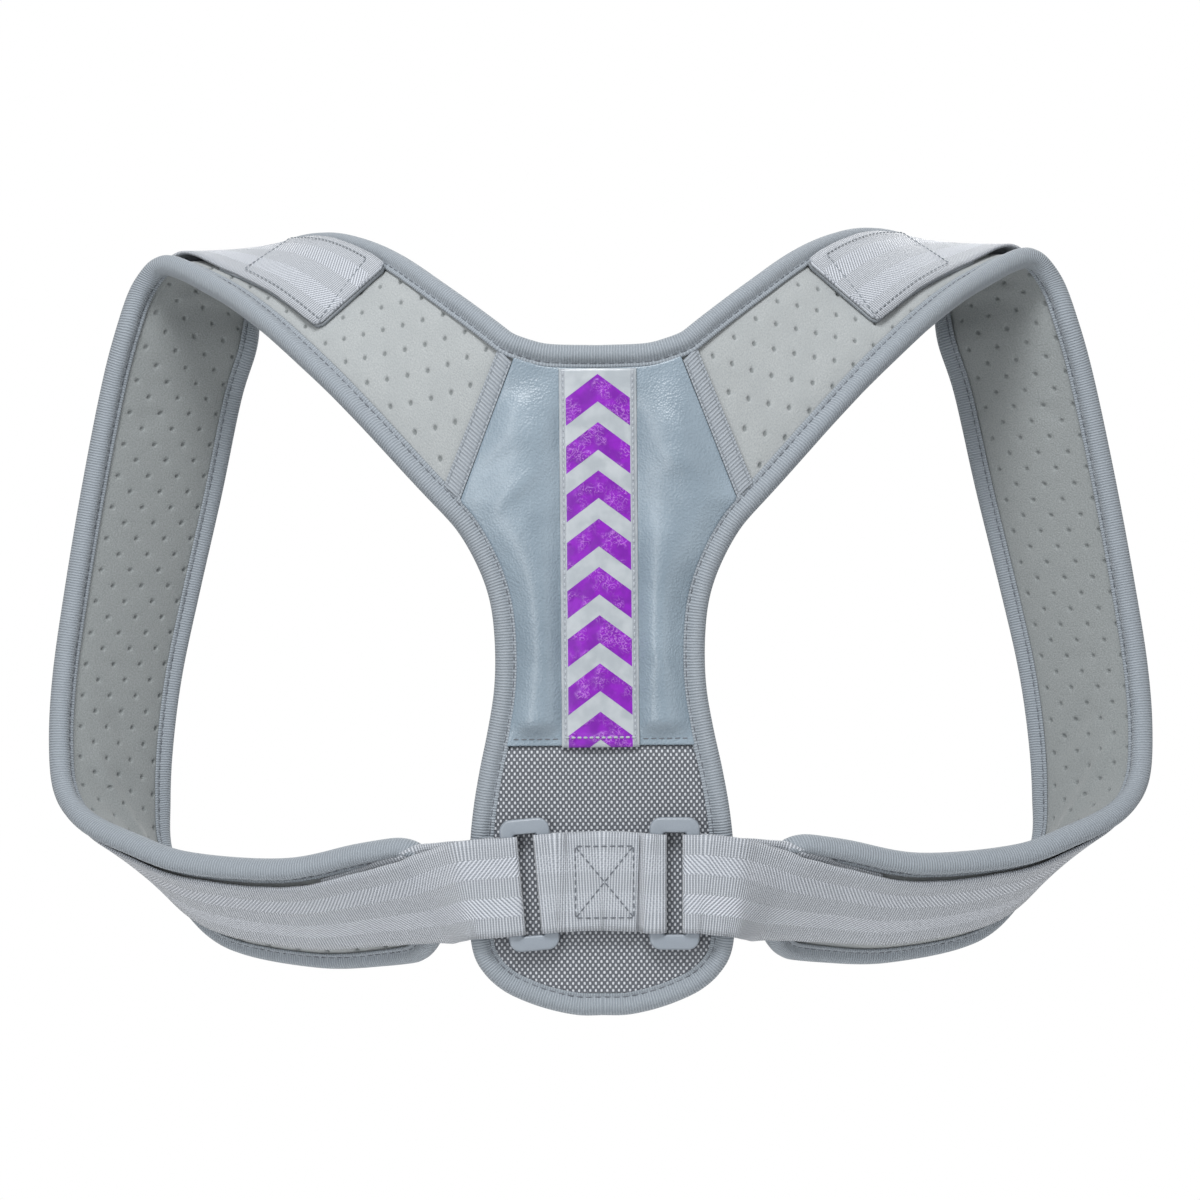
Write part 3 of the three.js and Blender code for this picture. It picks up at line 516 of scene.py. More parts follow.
def on_band(row, across, through):
    """Points on the left band, or past its end in the direction in which it ends."""
    row, across, through = np.broadcast_arrays(*(np.asarray(v, float) for v in (row, across, through)))
    inside = np.minimum(row, BAND_END)
    axes = band_axes(inside)
    return (
        band_middle(inside)
        + axes[0] * ((row - inside) * LAST_STRETCH)[..., None]
        + axes[1] * across[..., None]
        + axes[2] * through[..., None]
    )


# %% Edge of a pad
# How far the binding stands out past the pad's edge, and the corner radius of the pad's free end
BINDING_NOSE, PAD_CORNER = 1.9, 16


def pad_half(row):
    """Half the width of a pad inside its binding, with the corners of its end rounded."""
    past = np.clip((np.asarray(row, float) - BAND_END) * LAST_STRETCH + PAD_CORNER, 0, PAD_CORNER)
    cut = PAD_CORNER - np.sqrt(PAD_CORNER**2 - past**2)
    return smooth(BAND_ROWS[:, 5], np.minimum(row, BAND_END)) * BAND_WIDTH / 2 - BINDING_NOSE - cut


fine_rows = np.linspace(0, BAND_END, 4000)
fine_lengths = lengths_along(band_middle(fine_rows))
BAND_LENGTH = fine_lengths[-1]
print("band:", round(BAND_LENGTH), "mm along its middle")

# %% [markdown]
# ## Making a cloth piece
# A cloth piece starts as a grid primitive. Each of its points is laid on the real surface, and
# its UV map is given the lengths along and across in metres. Solidify gives the wall. A grid is
# better here than a drawn outline, because its rows follow the cloth's own threads.


# %% Helpers for pieces
def only(piece):
    """Select one piece and nothing else."""
    bpy.ops.object.select_all(action="DESELECT")
    piece.select_set(True)
    bpy.context.view_layer.objects.active = piece


def edit_faces(piece, chosen):
    """Open a piece in edit mode with only the chosen faces selected."""
    only(piece)
    bpy.ops.object.mode_set(mode="EDIT")
    bpy.ops.mesh.select_mode(type="FACE")
    bpy.ops.mesh.select_all(action="DESELECT")
    bpy.ops.object.mode_set(mode="OBJECT")
    piece.data.polygons.foreach_set("select", np.asarray(chosen, bool))
    bpy.ops.object.mode_set(mode="EDIT")


def place_points(piece, points_mm):
    """Give a mesh its points in the frame, from points about the panel's mid-plane."""
    points = (np.asarray(points_mm, float).reshape(-1, 3) - [0, PANEL_SHIFT, 0]) * MM
    assert len(points) == len(piece.data.vertices), (piece.name, len(points), len(piece.data.vertices))
    piece.data.vertices.foreach_set("co", points.ravel())
    piece.data.update()


def points_of(piece):
    """The points of a mesh as rows, in metres."""
    points = np.empty(len(piece.data.vertices) * 3)
    piece.data.vertices.foreach_get("co", points)
    return points.reshape(-1, 3)


def lay_uv(piece, lengths_mm):
    """Give every point of a mesh its lengths along and across as UV, in metres."""
    corners = np.empty(len(piece.data.loops), int)
    piece.data.loops.foreach_get("vertex_index", corners)
    piece.data.uv_layers[0].uv.foreach_set("vector", (lengths_mm * MM)[corners].ravel())


def laid_grid(name, points, along, across):
    """A grid whose rows and columns of points, and lengths in mm, are given."""
    rows, columns = points.shape[:2]
    bpy.ops.mesh.primitive_grid_add(x_subdivisions=columns - 1, y_subdivisions=rows - 1, size=1)
    piece = bpy.context.object
    piece.name = name
    piece.data.name = name
    place_points(piece, points)
    lay_uv(piece, np.stack(np.broadcast_arrays(along, across), -1).reshape(-1, 2))
    return piece


def apply(piece, kind, **settings):
    """Add a modifier with its settings and apply it."""
    only(piece)
    modifier = piece.modifiers.new(kind.lower(), kind)
    for field, value in settings.items():
        setattr(modifier, field, value)
    bpy.ops.object.modifier_apply(modifier=modifier.name)


def thicken(piece, thick, **settings):
    apply(piece, "SOLIDIFY", thickness=thick * MM, offset=0, **settings)


def close_tube(piece):
    """Join a tube's long seam and point its faces outwards."""
    only(piece)
    bpy.ops.object.mode_set(mode="EDIT")
    bpy.ops.mesh.select_all(action="SELECT")
    bpy.ops.mesh.remove_doubles(threshold=0.001 * MM)
    bpy.ops.mesh.normals_make_consistent(inside=False)
    bpy.ops.object.mode_set(mode="OBJECT")


def dress(piece, finish, slot, *nodes):
    """Smooth shading, the finish, the body it rides on and the CAD nodes it stands for."""
    only(piece)
    bpy.ops.object.shade_smooth()
    piece.data.materials.clear()
    piece.data.materials.append(finish)
    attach(piece, "root")
    if nodes:
        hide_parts(*nodes)
    print(piece.name, len(piece.data.polygons), "faces")
    return piece


def turned(values, side):
    """Values in columns across the left piece, in the order that the right piece has."""
    return values if side == "left" else values[:, ::-1]


def hand(points, side):
    """The left piece's points, or the right piece's, with columns turned to keep the faces out."""
    if side == "left":
        return points
    return (points * MIRROR)[:, ::-1]


def ripples(points, size, seed):
    """Slow noise at points in mm, from about -1 to 1."""
    shift = Vector((seed * 37.1, seed * 11.7, seed * 5.3))
    flat = points.reshape(-1, 3)
    values = [noise.noise(Vector(p) / size + shift) for p in flat]
    return np.array(values).reshape(points.shape[:-1])


# %% [markdown]
# ## Shoulder pads
# Foam between two layers of brushed fabric, 5.5 mm thick and pressed thin where the ribbon binds
# it. A grid with cells of 3.4 mm is laid on the band, gets its wall, and is then blown up a
# little as cloth with its edges held. One cell in eight, staggered, becomes a punched hole: inset
# twice, and pushed in. Low creases lie on the face towards the wearer, where the band bends.

# %% Pad values
PAD_THICK, EDGE_THICK = 5.5, 3.4
BINDING_REACH, SEAM_TAPE_WIDTH = 7.6, 8
PAD_CELL, PAD_COLUMNS = 3.4, 18
HOLE_RIM, HOLE_WALL, HOLE_DIP, HOLE_DEPTH = 0.55, 0.3, 0.3, 0.7
PUFF_PRESSURE, PUFF_FRAMES = 4, 20
INNER_PUFF, OUTER_PUFF = 1.2, 0.2


# %% Blowing up and punching
def puff(piece, held, caps_mm):
    """Blow a closed piece up as cloth with some points held, each moving no more than its cap."""
    before = points_of(piece)
    group = piece.vertex_groups.new(name="held")
    group.add([int(i) for i in np.flatnonzero(held)], 1.0, "REPLACE")
    only(piece)
    modifier = piece.modifiers.new("blow", "CLOTH")
    cloth = modifier.settings
    cloth.quality = 4
    cloth.mass = 0.1
    cloth.use_pressure = True
    cloth.uniform_pressure_force = PUFF_PRESSURE
    cloth.vertex_group_mass = "held"
    cloth.effector_weights.gravity = 0
    modifier.point_cache.frame_start = 1
    modifier.point_cache.frame_end = PUFF_FRAMES
    for number in range(1, PUFF_FRAMES + 1):
        bpy.context.scene.frame_set(number)
    bpy.ops.object.modifier_apply(modifier=modifier.name)
    bpy.context.scene.frame_set(1)
    moved = points_of(piece) - before
    far = np.linalg.norm(moved, axis=1)
    limit = np.asarray(caps_mm) * MM
    share = np.where(far > limit, limit / np.maximum(far, 1e-9), 1)
    piece.data.vertices.foreach_set("co", (before + moved * share[:, None]).ravel())
    piece.data.update()
    piece.vertex_groups.clear()
    far_mm, limit_mm = round(float(far.max()) / MM, 2), round(float(limit.max()) / MM, 2)
    print(piece.name, "blown up by", far_mm, "mm, held to", limit_mm, "mm")


def punch(piece, cells):
    """Make the given faces into round holes, with a floor that the finish paints darker as painted shade.
    """
    edit_faces(piece, np.isin(np.arange(len(piece.data.polygons)), cells))
    bpy.ops.mesh.inset(thickness=HOLE_RIM * MM, use_individual=True)
    bpy.ops.transform.shrink_fatten(value=-HOLE_DIP * MM)
    bpy.ops.mesh.inset(thickness=HOLE_WALL * MM, use_individual=True)
    bpy.ops.transform.shrink_fatten(value=-HOLE_DEPTH * MM)
    bpy.ops.object.mode_set(mode="OBJECT")
    floor = np.zeros(len(piece.data.vertices), bool)
    piece.data.vertices.foreach_get("select", floor)
    piece.data.attributes.new("hole", "FLOAT", "POINT").data.foreach_set("value", floor.astype(float))


# %% Creases
# On the inner face: row and mm across of both ends, and how far each stands out in mm
CREASES = (
    ((12.2, -12), (13.2, 1), 2.8), ((13.2, 1), (14.2, 13.5), 2.4), ((11.65, -3.5), (12.45, 17), -1.7),
    ((11.2, -10), (11.9, 6), -1.0), ((6.2, -16), (5.74, -1), 1.8), ((5.74, -1), (5.9, 14), 1.4),
    ((8.3, -22), (8.25, -3), -1.0), ((9.6, 2), (9.9, 20), 0.8),
)
CREASE_WIDTH = 2.3


def crease_depth(length, across):
    """How far creases stand out of a pad's inner face, in mm."""
    length, across = np.broadcast_arrays(length, across)
    depth = np.zeros(length.shape)
    for (row, side), (end_row, end_side), rise in CREASES:
        start, end = (np.interp(r, fine_rows, fine_lengths) for r in (row, end_row))
        run = np.array([end - start, end_side - side])
        share = ((length - start) * run[0] + (across - side) * run[1]) / (run @ run)
        share = np.clip(share, 0, 1)
        away = np.hypot(length - start - share * run[0], across - side - share * run[1])
        depth += rise * np.sin(np.pi * (0.12 + 0.76 * share)) * np.exp(-((away / CREASE_WIDTH) ** 2))
    return depth


# %% Pads
def punched_cells(rows):
    """Numbers of the faces that become holes, on both faces of a pad."""
    return [
        face * rows * PAD_COLUMNS + i * PAD_COLUMNS + j
        for face in range(2)
        for i in range(2, rows - 5, 2)
        for j in range(3, PAD_COLUMNS - 2, 2)
        if (i // 2 + j // 2) % 2 == 0
    ]


def make_pad(side):
    rows = round(BAND_LENGTH / PAD_CELL)
    length = np.linspace(0.5, BAND_LENGTH, rows + 1)
    row = np.interp(length, fine_lengths, fine_rows)
    half = np.maximum(pad_half(row), 8)
    across = half[:, None] * np.linspace(-1, 1, PAD_COLUMNS + 1)
    to_ends = np.minimum(BAND_LENGTH - length, length + BINDING_REACH - SEAM_TAPE_WIDTH / 2)
    to_edge = np.minimum(half[:, None] - np.abs(across), to_ends[:, None])
    points = on_band(row[:, None], across, 0)
    piece = laid_grid("pad_" + side, hand(points, side), length[:, None], turned(across, side))
    body = turned(smoothstep(to_edge, BINDING_REACH - 1, 2 * BINDING_REACH), side).ravel()
    group = piece.vertex_groups.new(name="body")
    for i, weight in enumerate(body):
        group.add([i], float(weight), "REPLACE")
    thicken(piece, PAD_THICK, vertex_group="body", thickness_vertex_group=EDGE_THICK / PAD_THICK)
    piece.vertex_groups.remove(piece.vertex_groups["body"])
    both = np.concatenate([body, body])
    middle = np.concatenate([points_of(piece)[: len(body)] + points_of(piece)[len(body) :]] * 2) / 2
    to_wearer = np.repeat(band_axes(row)[2], PAD_COLUMNS + 1, axis=0)
    if side == "right":
        to_wearer = to_wearer * MIRROR
    to_wearer = np.concatenate([to_wearer] * 2)
    inner = np.einsum("ij,ij->i", points_of(piece) - middle, to_wearer) > 0
    puff(piece, both < 0.02, np.where(inner, INNER_PUFF, OUTER_PUFF) * both)
    creases = turned(crease_depth(length[:, None], across), side).ravel() * body
    print("creases:", round(creases.min(), 1), "to", round(creases.max(), 1), "mm")
    shell = points_of(piece) + to_wearer * (np.concatenate([creases] * 2) * inner)[:, None] * MM
    piece.data.vertices.foreach_set("co", shell.ravel())
    # The face towards the wearer is marked so that the finish paints it darker, as painted shade.
    piece.data.attributes.new("inside", "FLOAT", "POINT").data.foreach_set("value", inner.astype(float))
    punch(piece, punched_cells(rows))
    apply(piece, "SUBSURF", levels=1, render_levels=1)
    return dress(piece, suede, "pad", "shoulder_pad_" + side)


for side in SIDES:
    make_pad(side)

# %% [markdown]
# ## Outline of the back panel
# The panel is a flat hourglass with a round lower end. Its side is a smooth line from the bottom
# up to the seam, the seam is straight, and the neck edge dips a little.

# %% Panel values
WAIST_HALF, BULB_HALF, BULB_DROP, NECK_HEIGHT = 38.8, 50.1, 139.6, 116.5
# Side of the round end (share of its half width, of its drop), then of the way to the waist, then
# of the way from the waist to the seam's corner. Last the neck edge, out from the middle and up.
BULB_ROWS = (
    (0, -1), (0.18, -1), (0.39, -0.985), (0.58, -0.962), (0.75, -0.932), (0.885, -0.888),
    (0.97, -0.828), (1, -0.7),
)
WAIST_ROWS = ((0.933, -0.555), (0.8, -0.443), (0.567, -0.333), (0.275, -0.221), (0.05, -0.11), (0, 0))
FLANK_ROWS = ((0.057, 0.285), (0.2, 0.5), (0.449, 0.71), (0.726, 0.88), (1, 1))
NECK_ROWS = ((1, 1), (0.8, 0.52), (0.55, 0.12), (0, 0))


def curve_through(points, count):
    """Points on a smooth curve through the given ones, evenly spaced along its length."""
    points = np.asarray(points, float)
    place = np.linspace(0, len(points) - 1, 40 * len(points))
    dense = np.stack([smooth(column, place) for column in points.T], -1)
    length = lengths_along(dense)
    return at_lengths(np.linspace(0, length[-1], count), length, dense)


# %% Panel outline
seam_low, seam_high = on_band(0, -pad_half(0), 0), on_band(0, pad_half(0), 0)
side_rows = (
    [(half * BULB_HALF, up * BULB_DROP) for half, up in BULB_ROWS]
    + [(WAIST_HALF + half * (BULB_HALF - WAIST_HALF), up * BULB_DROP) for half, up in WAIST_ROWS]
    + [(WAIST_HALF + half * (-seam_low[0] - WAIST_HALF), up * seam_low[2]) for half, up in FLANK_ROWS]
)
neck_rise = seam_high[2] - NECK_HEIGHT
neck_rows = [(-seam_high[0] * out, NECK_HEIGHT + up * neck_rise) for out, up in NECK_ROWS]
side_line = curve_through(side_rows, 300)
neck_line = curve_through(neck_rows, 60)
seam_line = np.linspace(side_line[-1], (-seam_high[0], seam_high[2]), 80)


def inset_line(distance):
    """The side and the seam moved inwards, as half widths at rising heights."""
    line = np.vstack([side_line, seam_line[1:]])
    run = unit(np.gradient(line, axis=0))
    mean = np.ones(9) / 9
    run = unit(np.stack([np.convolve(np.pad(column, 4, "edge"), mean, "valid") for column in run.T], -1))
    moved = line + np.stack([-run[:, 1], run[:, 0]], -1) * distance
    keep = np.concatenate([[True], np.diff(np.maximum.accumulate(moved[:, 1])) > 1e-6])
    return moved[keep]


def half_at(height, distance):
    """Half width of the panel at a height, less a distance from its edge."""
    line = inset_line(distance)
    return np.interp(height, line[:, 1], line[:, 0])


def neck_at(across):
    """Height of the neck edge at a place across the panel."""
    return np.interp(np.abs(across), neck_line[::-1, 0], neck_line[::-1, 1])


print("panel:", round(2 * WAIST_HALF), "mm at the waist,", round(2 * BULB_HALF), "mm at the round end")

# %% [markdown]
# ## Core of the panel
# Foam with a lining towards the wearer, and perforated like the pads. Cells of 3.4 mm that lie
# inside the outline are kept, the outer points are moved onto the outline, and the side towards
# the wearer is blown up between its bound edges.

# %% Core values
PANEL_PUFF = 2.6
CORE_COLUMNS, CORE_ROWS = 36, 80
outline = np.vstack([side_line, seam_line[1:-1], neck_line])
outline = np.vstack([outline * [-1, 1], outline[::-1]])


def to_outline(points):
    """Distance of points, given as rows of across and up, from the panel's outline."""
    return np.array([np.linalg.norm(outline - p, axis=1).min() for p in points])


def face_middles(piece):
    return np.array([[*face.center] for face in piece.data.polygons]) / MM


# %% Core outline
def cut_core():
    """A grid cut to the panel's outline, whose rim points are moved onto it."""
    bpy.ops.mesh.primitive_grid_add(x_subdivisions=CORE_COLUMNS, y_subdivisions=CORE_ROWS, size=1)
    piece = bpy.context.object
    piece.name = "panel_core"
    xs = (np.arange(CORE_COLUMNS + 1) - CORE_COLUMNS / 2) * PAD_CELL
    zs = (np.arange(CORE_ROWS + 1) * PAD_CELL) - BULB_DROP - 2
    flat = np.stack(np.meshgrid(xs, zs), -1).reshape(-1, 2)
    place_points(piece, np.stack([flat[:, 0], 0 * flat[:, 0], flat[:, 1]], -1))
    middles = face_middles(piece)
    heights, halves = np.append(side_line[:, 1], seam_high[2]), np.append(side_line[:, 0], -seam_high[0])
    outside = np.abs(middles[:, 0]) > np.interp(middles[:, 2], heights, halves) - 1
    outside |= middles[:, 2] > neck_at(middles[:, 0]) - 1
    outside |= middles[:, 2] < -BULB_DROP + 1
    edit_faces(piece, outside)
    bpy.ops.mesh.delete(type="FACE")
    bpy.ops.mesh.select_mode(type="VERT")
    bpy.ops.mesh.select_all(action="DESELECT")
    bpy.ops.mesh.select_non_manifold()
    bpy.ops.object.mode_set(mode="OBJECT")
    rim = np.array([v.select for v in piece.data.vertices])
    points = points_of(piece) / MM
    for i in np.flatnonzero(rim):
        near = np.linalg.norm(outline - points[i, [0, 2]], axis=1).argmin()
        points[i, [0, 2]] = outline[near]
    points[:, 1] += PANEL_SHIFT
    place_points(piece, points)
    lay_uv(piece, points[:, [0, 2]])
    return piece


# %% Core
def make_core():
    piece = cut_core()
    faces = len(piece.data.polygons)
    to_rim = to_outline(face_middles(piece)[:, [0, 2]])
    body = smoothstep(to_outline(points_of(piece)[:, [0, 2]] / MM), BINDING_REACH - 1, 2 * BINDING_REACH)
    body = np.concatenate([body, body])
    thicken(piece, EDGE_THICK)
    shell = points_of(piece)
    wearer = shell[:, 1] > -PANEL_SHIFT * MM
    shell[:, 1] += np.where(wearer, body * (PANEL_PUFF - 0.8) * MM, 0)
    piece.data.vertices.foreach_set("co", shell.ravel())
    puff(piece, ~wearer | (body < 0.02), INNER_PUFF * body * wearer)
    cells = []
    for number, face in enumerate(piece.data.polygons[: 2 * faces]):
        x, _, z = face.center
        i = math.floor(x / MM / PAD_CELL + 100)
        j = math.floor((z / MM + BULB_DROP + 2) / PAD_CELL + 0.01)
        inside = to_rim[number % faces] > BINDING_REACH + 3
        staggered = i % 2 == 0 and j % 2 == 0 and (i // 2 + j // 2) % 2 == 0
        if face.normal.y > 0.5 and inside and staggered:
            cells.append(number)
    punch(piece, cells)
    apply(piece, "SUBSURF", levels=1, render_levels=1)
    # The core takes the darker copy of the pad fabric, as painted shade.
    return dress(piece, lining, "pad", "back_pad")


make_core()

# %% [markdown]
# ## Binding
# One ribbon is folded over every edge. Over the foam it stands as a round bead, and inside it a
# row of stitches presses it into a groove, with a thin lip beyond. Its section is drawn once and
# swept along the edge of the panel, round the whole band and back to the neck.

# %% Edge line of the left half
def edge_line(step):
    """Points every step mm along the left edge, with the way through the cloth at each."""
    run = np.linspace(0, BAND_END - PAD_CORNER / LAST_STRETCH, 1200)
    angle = np.linspace(0, math.pi / 2, 60)
    corner = BAND_END - PAD_CORNER * (1 - np.sin(angle)) / LAST_STRETCH
    corner_half = smooth(BAND_ROWS[:, 5], corner) * BAND_WIDTH / 2 - BINDING_NOSE
    corner_half = corner_half - PAD_CORNER * (1 - np.cos(angle))
    end_share = np.linspace(-1, 1, 40)
    rows = np.concatenate([run, corner, np.full(40, BAND_END), corner[::-1], run[::-1]])
    across = np.concatenate([
        -pad_half(run), -corner_half, end_share * corner_half[-1], corner_half[::-1], pad_half(run)[::-1],
    ])
    sides, neck = (
        np.stack([-line[:, 0], 0 * line[:, 0], line[:, 1]], -1) for line in (side_line, neck_line)
    )
    points = np.vstack([sides, on_band(rows, across, 0), neck])
    by_sides, by_neck = (np.array([[0, 1.0, 0]]).repeat(len(line), 0) for line in (sides, neck))
    through = np.vstack([by_sides, band_axes(rows)[2], by_neck])
    length = lengths_along(points)
    even = np.linspace(0, length[-1], round(length[-1] / step))
    reach = max(round(3 / step), 1)
    points = softened(at_lengths(even, length, points), reach)
    through = unit(softened(at_lengths(even, length, through), reach))
    points[[0, -1], 0] = 0
    return points, through, even


def edge_frame(step):
    """Points along the left edge, with the ways out of it and through it, and their lengths."""
    points, through, length = edge_line(step)
    run = np.gradient(points, axis=0)
    run[0], run[-1] = (-1, 0, 0), (1, 0, 0)
    outward = unit(np.cross(unit(run), through))
    return points, outward, through, length


# %% Binding values
# Outward from the edge and through the cloth, in mm, for the half that is seen from behind
BEAD = (
    (-7.2, -2.0), (-7.5, -2.5), (-7.0, -3.0), (-6.2, -3.0), (-5.5, -2.6), (-4.9, -3.1), (-4.0, -4.0),
    (-2.8, -4.6), (-1.3, -4.65), (0.1, -4.0), (1.2, -2.7), (1.8, -1.2),
)
LIP_INSIDE = ((-4.0, -1.85), (0.0, -1.8))
BINDING_STEP, STITCH_PITCH = 1.5, 3.6
CAP_LOOP = 0.03


# %% Binding
def make_binding(side):
    points, outward, through, length = edge_frame(BINDING_STEP)
    section = np.array(
        list(BEAD) + [(BINDING_NOSE, 0)] + [(o, -t) for o, t in reversed(BEAD)]
        + [(o, -t) for o, t in LIP_INSIDE] + list(reversed(LIP_INSIDE)) + [BEAD[0]]
    )
    pucker = 0.12 * np.cos(2 * math.pi * length / STITCH_PITCH)
    pucker = pucker + 0.12 * np.sin(length / 7.3) * np.sin(length / 2.9)
    swell = 1 + pucker[:, None] * np.exp(-((section[:, 0] + 5.0) / 1.6) ** 2) * 0.5
    laid = (
        points[:, None]
        + outward[:, None] * section[:, 0][None, :, None]
        + through[:, None] * (section[:, 1][None] * swell)[..., None]
    )
    # Each end is closed to a point, with a loop close by that keeps its edge sharp
    middle = laid.mean(axis=1, keepdims=True)
    first, last = (a * (1 - CAP_LOOP) + b * CAP_LOOP for a, b in (laid[:2], laid[:-3:-1]))
    laid = np.concatenate([
        np.repeat(middle[:1], len(section), 1), laid[:1], first[None], laid[1:-1],
        last[None], laid[-1:], np.repeat(middle[-1:], len(section), 1),
    ])
    loop = CAP_LOOP * BINDING_STEP
    run = np.concatenate([[0, 0, loop], length[1:-1], length[-1:] - loop, length[[-1, -1]]])
    piece = laid_grid("binding_" + side, hand(laid, side), run[:, None], lengths_along(section))
    close_tube(piece)
    return dress(piece, binding_ribbon, "binding", "edge_binding_" + side)


for side in SIDES:
    make_binding(side)
print("binding:", round(edge_line(BINDING_STEP)[2][-1]), "mm on each side")

# %% [markdown]
# ## Leather, strip, mesh and seam tapes
# The leather is one sheet with a wall of 1.2 mm. It is pressed flat at the strip, the hem and the
# outer edges, and the foam swells it in between. The mesh lies below it, and both end at the
# binding's lip. The strip is sewn down the middle. The tapes cover the seams to the pads.

# %% Leather values
GAP = 0.3
PANEL_FRONT = -EDGE_THICK / 2
LEATHER_BOTTOM, LEATHER_THICK, LEATHER_PUFF = -36.8, 1.2, 4.4
LEATHER_MIDDLE = PANEL_FRONT - GAP - LEATHER_THICK / 2
STRIP_HALF = 15
LIP_REACH, LEATHER_TUCK = 7.2, 0.6
HEM_FLAT, HEM_SWELL = 2.4, 10
FOLD_WIDTH = 5.0
# across, up, lean, reach and rise of soft diagonal folds
SOFT_FOLDS = (
    (-33, 62, 0.9, 12, 0.9), (-38, 74, 0.7, 9, -0.8), (30, 74, -0.5, 12, 0.7),
    (27, -8, -1.4, 11, 0.5), (-30, 96, 0.5, 9, 0.6), (33, 92, -0.8, 9, -0.6),
)


def offset_line(line, distance, beyond):
    """A line of (half, height) points moved inwards, and drawn out past one of its ends."""
    run = unit(np.gradient(line, axis=0))
    moved = line + np.stack([-run[:, 1], run[:, 0]], -1) * distance
    if beyond > 0:
        return np.vstack([moved, moved[-1] + run[-1] * beyond])
    return np.vstack([moved[0] + run[0] * beyond, moved])


under_lip = offset_line(side_line[150:], LIP_REACH - LEATHER_TUCK, 60)
beside_tape = offset_line(seam_line, SEAM_TAPE_WIDTH / 2 - 0.1, -60)


def leather_half(height):
    """Half width of the leather, which ends under the binding's lip and against the seam tape."""
    by_lip = np.interp(height, under_lip[:, 1], under_lip[:, 0])
    by_tape = np.interp(height, beside_tape[:, 1], beside_tape[:, 0])
    return np.minimum(by_lip, by_tape)


# %% Leather
def leather_depth(across, high):
    """Y of the leather's middle layer: swollen beside the strip, flat at its edges, soft folds."""
    across, high = np.broadcast_arrays(np.asarray(across, float), np.asarray(high, float))
    top = neck_at(across) - LIP_REACH
    up = np.clip((high - LEATHER_BOTTOM) / (top - LEATHER_BOTTOM), 0, 1)
    half = leather_half(high.ravel()).reshape(high.shape)
    beside = np.clip((np.abs(across) - STRIP_HALF) / (half - STRIP_HALF), 0, 1)
    hem = smoothstep(high, LEATHER_BOTTOM + HEM_FLAT, LEATHER_BOTTOM + HEM_SWELL)
    swell = LEATHER_PUFF * np.sin(np.pi * beside**0.85) * smoothstep(1 - up, 0.01, 0.2) * hem
    flat = np.stack([across, 0 * across, high], -1)
    folds = ripples(flat * [1, 1, 0.45], 18, 3) + ripples(flat * [0.5, 1, 1], 10, 5) * 0.25
    for x, z, lean, reach, rise in SOFT_FOLDS:
        off = (high - z) - lean * (across - x)
        far = (across - x) ** 2 + (high - z) ** 2
        folds = folds + rise * np.exp(-((off / FOLD_WIDTH) ** 2) - far / reach**2)
    rolled = 0.35 * np.exp(-(((high - LEATHER_BOTTOM) / 1.6) ** 2))
    return LEATHER_MIDDLE - swell * (1 + 0.3 * folds) - rolled


def flat_piece(name, across, high, depth, thick):
    """A sheet on the panel: a grid at places across and up, with Y from a depth, and a wall."""
    across, high, depth = np.broadcast_arrays(across, high, depth)
    piece = laid_grid(name, np.stack([across, depth, high], -1), high, across)
    thicken(piece, thick)
    return piece


def make_leather():
    rows, columns = 120, 64
    up = np.linspace(0, 1, rows + 1)[:, None]
    share = np.linspace(-1, 1, columns + 1)[None]
    half = np.full((rows + 1, 1), WAIST_HALF)
    for _ in range(8):
        half = leather_half(LEATHER_BOTTOM + up * (neck_at(half) - LIP_REACH - LEATHER_BOTTOM))
    across = half * share
    high = LEATHER_BOTTOM + up * (neck_at(across) - LIP_REACH - LEATHER_BOTTOM)
    piece = flat_piece("leather", across, high, leather_depth(across, high), LEATHER_THICK)
    apply(piece, "BEVEL", width=0.5 * MM, segments=2, limit_method="ANGLE", angle_limit=math.radians(60))
    return dress(piece, leather, "leather", "leather_panel")


make_leather()


# %% Sewn strip
STRIP_SEWN, STRIP_THICK = 13.4, 0.7


def strip_depth(across, high):
    """Y of the strip's middle layer: crowned, sunk at its stitches, thicker at its hem."""
    across, high = np.broadcast_arrays(np.asarray(across, float), np.asarray(high, float))
    flat = np.stack([across, 0 * across, high], -1)
    edge = 1 - np.abs(across / STRIP_HALF) ** 4
    crown = 0.7 * (1 - (across / STRIP_HALF) ** 2) + 0.25 * ripples(flat, 5, 8) * edge
    sewn = 0.35 * np.exp(-(((np.abs(across) - STRIP_SEWN) / 0.6) ** 2))
    hem = 0.5 * smoothstep(-high, -LEATHER_BOTTOM - 4.6, -LEATHER_BOTTOM - 3.6)
    return LEATHER_MIDDLE - LEATHER_THICK / 2 - 0.45 - crown + sewn - hem


def make_strip():
    rows, columns = 110, 24
    across = np.linspace(-STRIP_HALF, STRIP_HALF, columns + 1)[None]
    high = np.linspace(LEATHER_BOTTOM - 0.6, NECK_HEIGHT - LIP_REACH - 0.2, rows + 1)[:, None]
    piece = flat_piece("strip", across, high, strip_depth(across, high), STRIP_THICK)
    return dress(piece, strip_film, "strip", "reflective_strip")


make_strip()


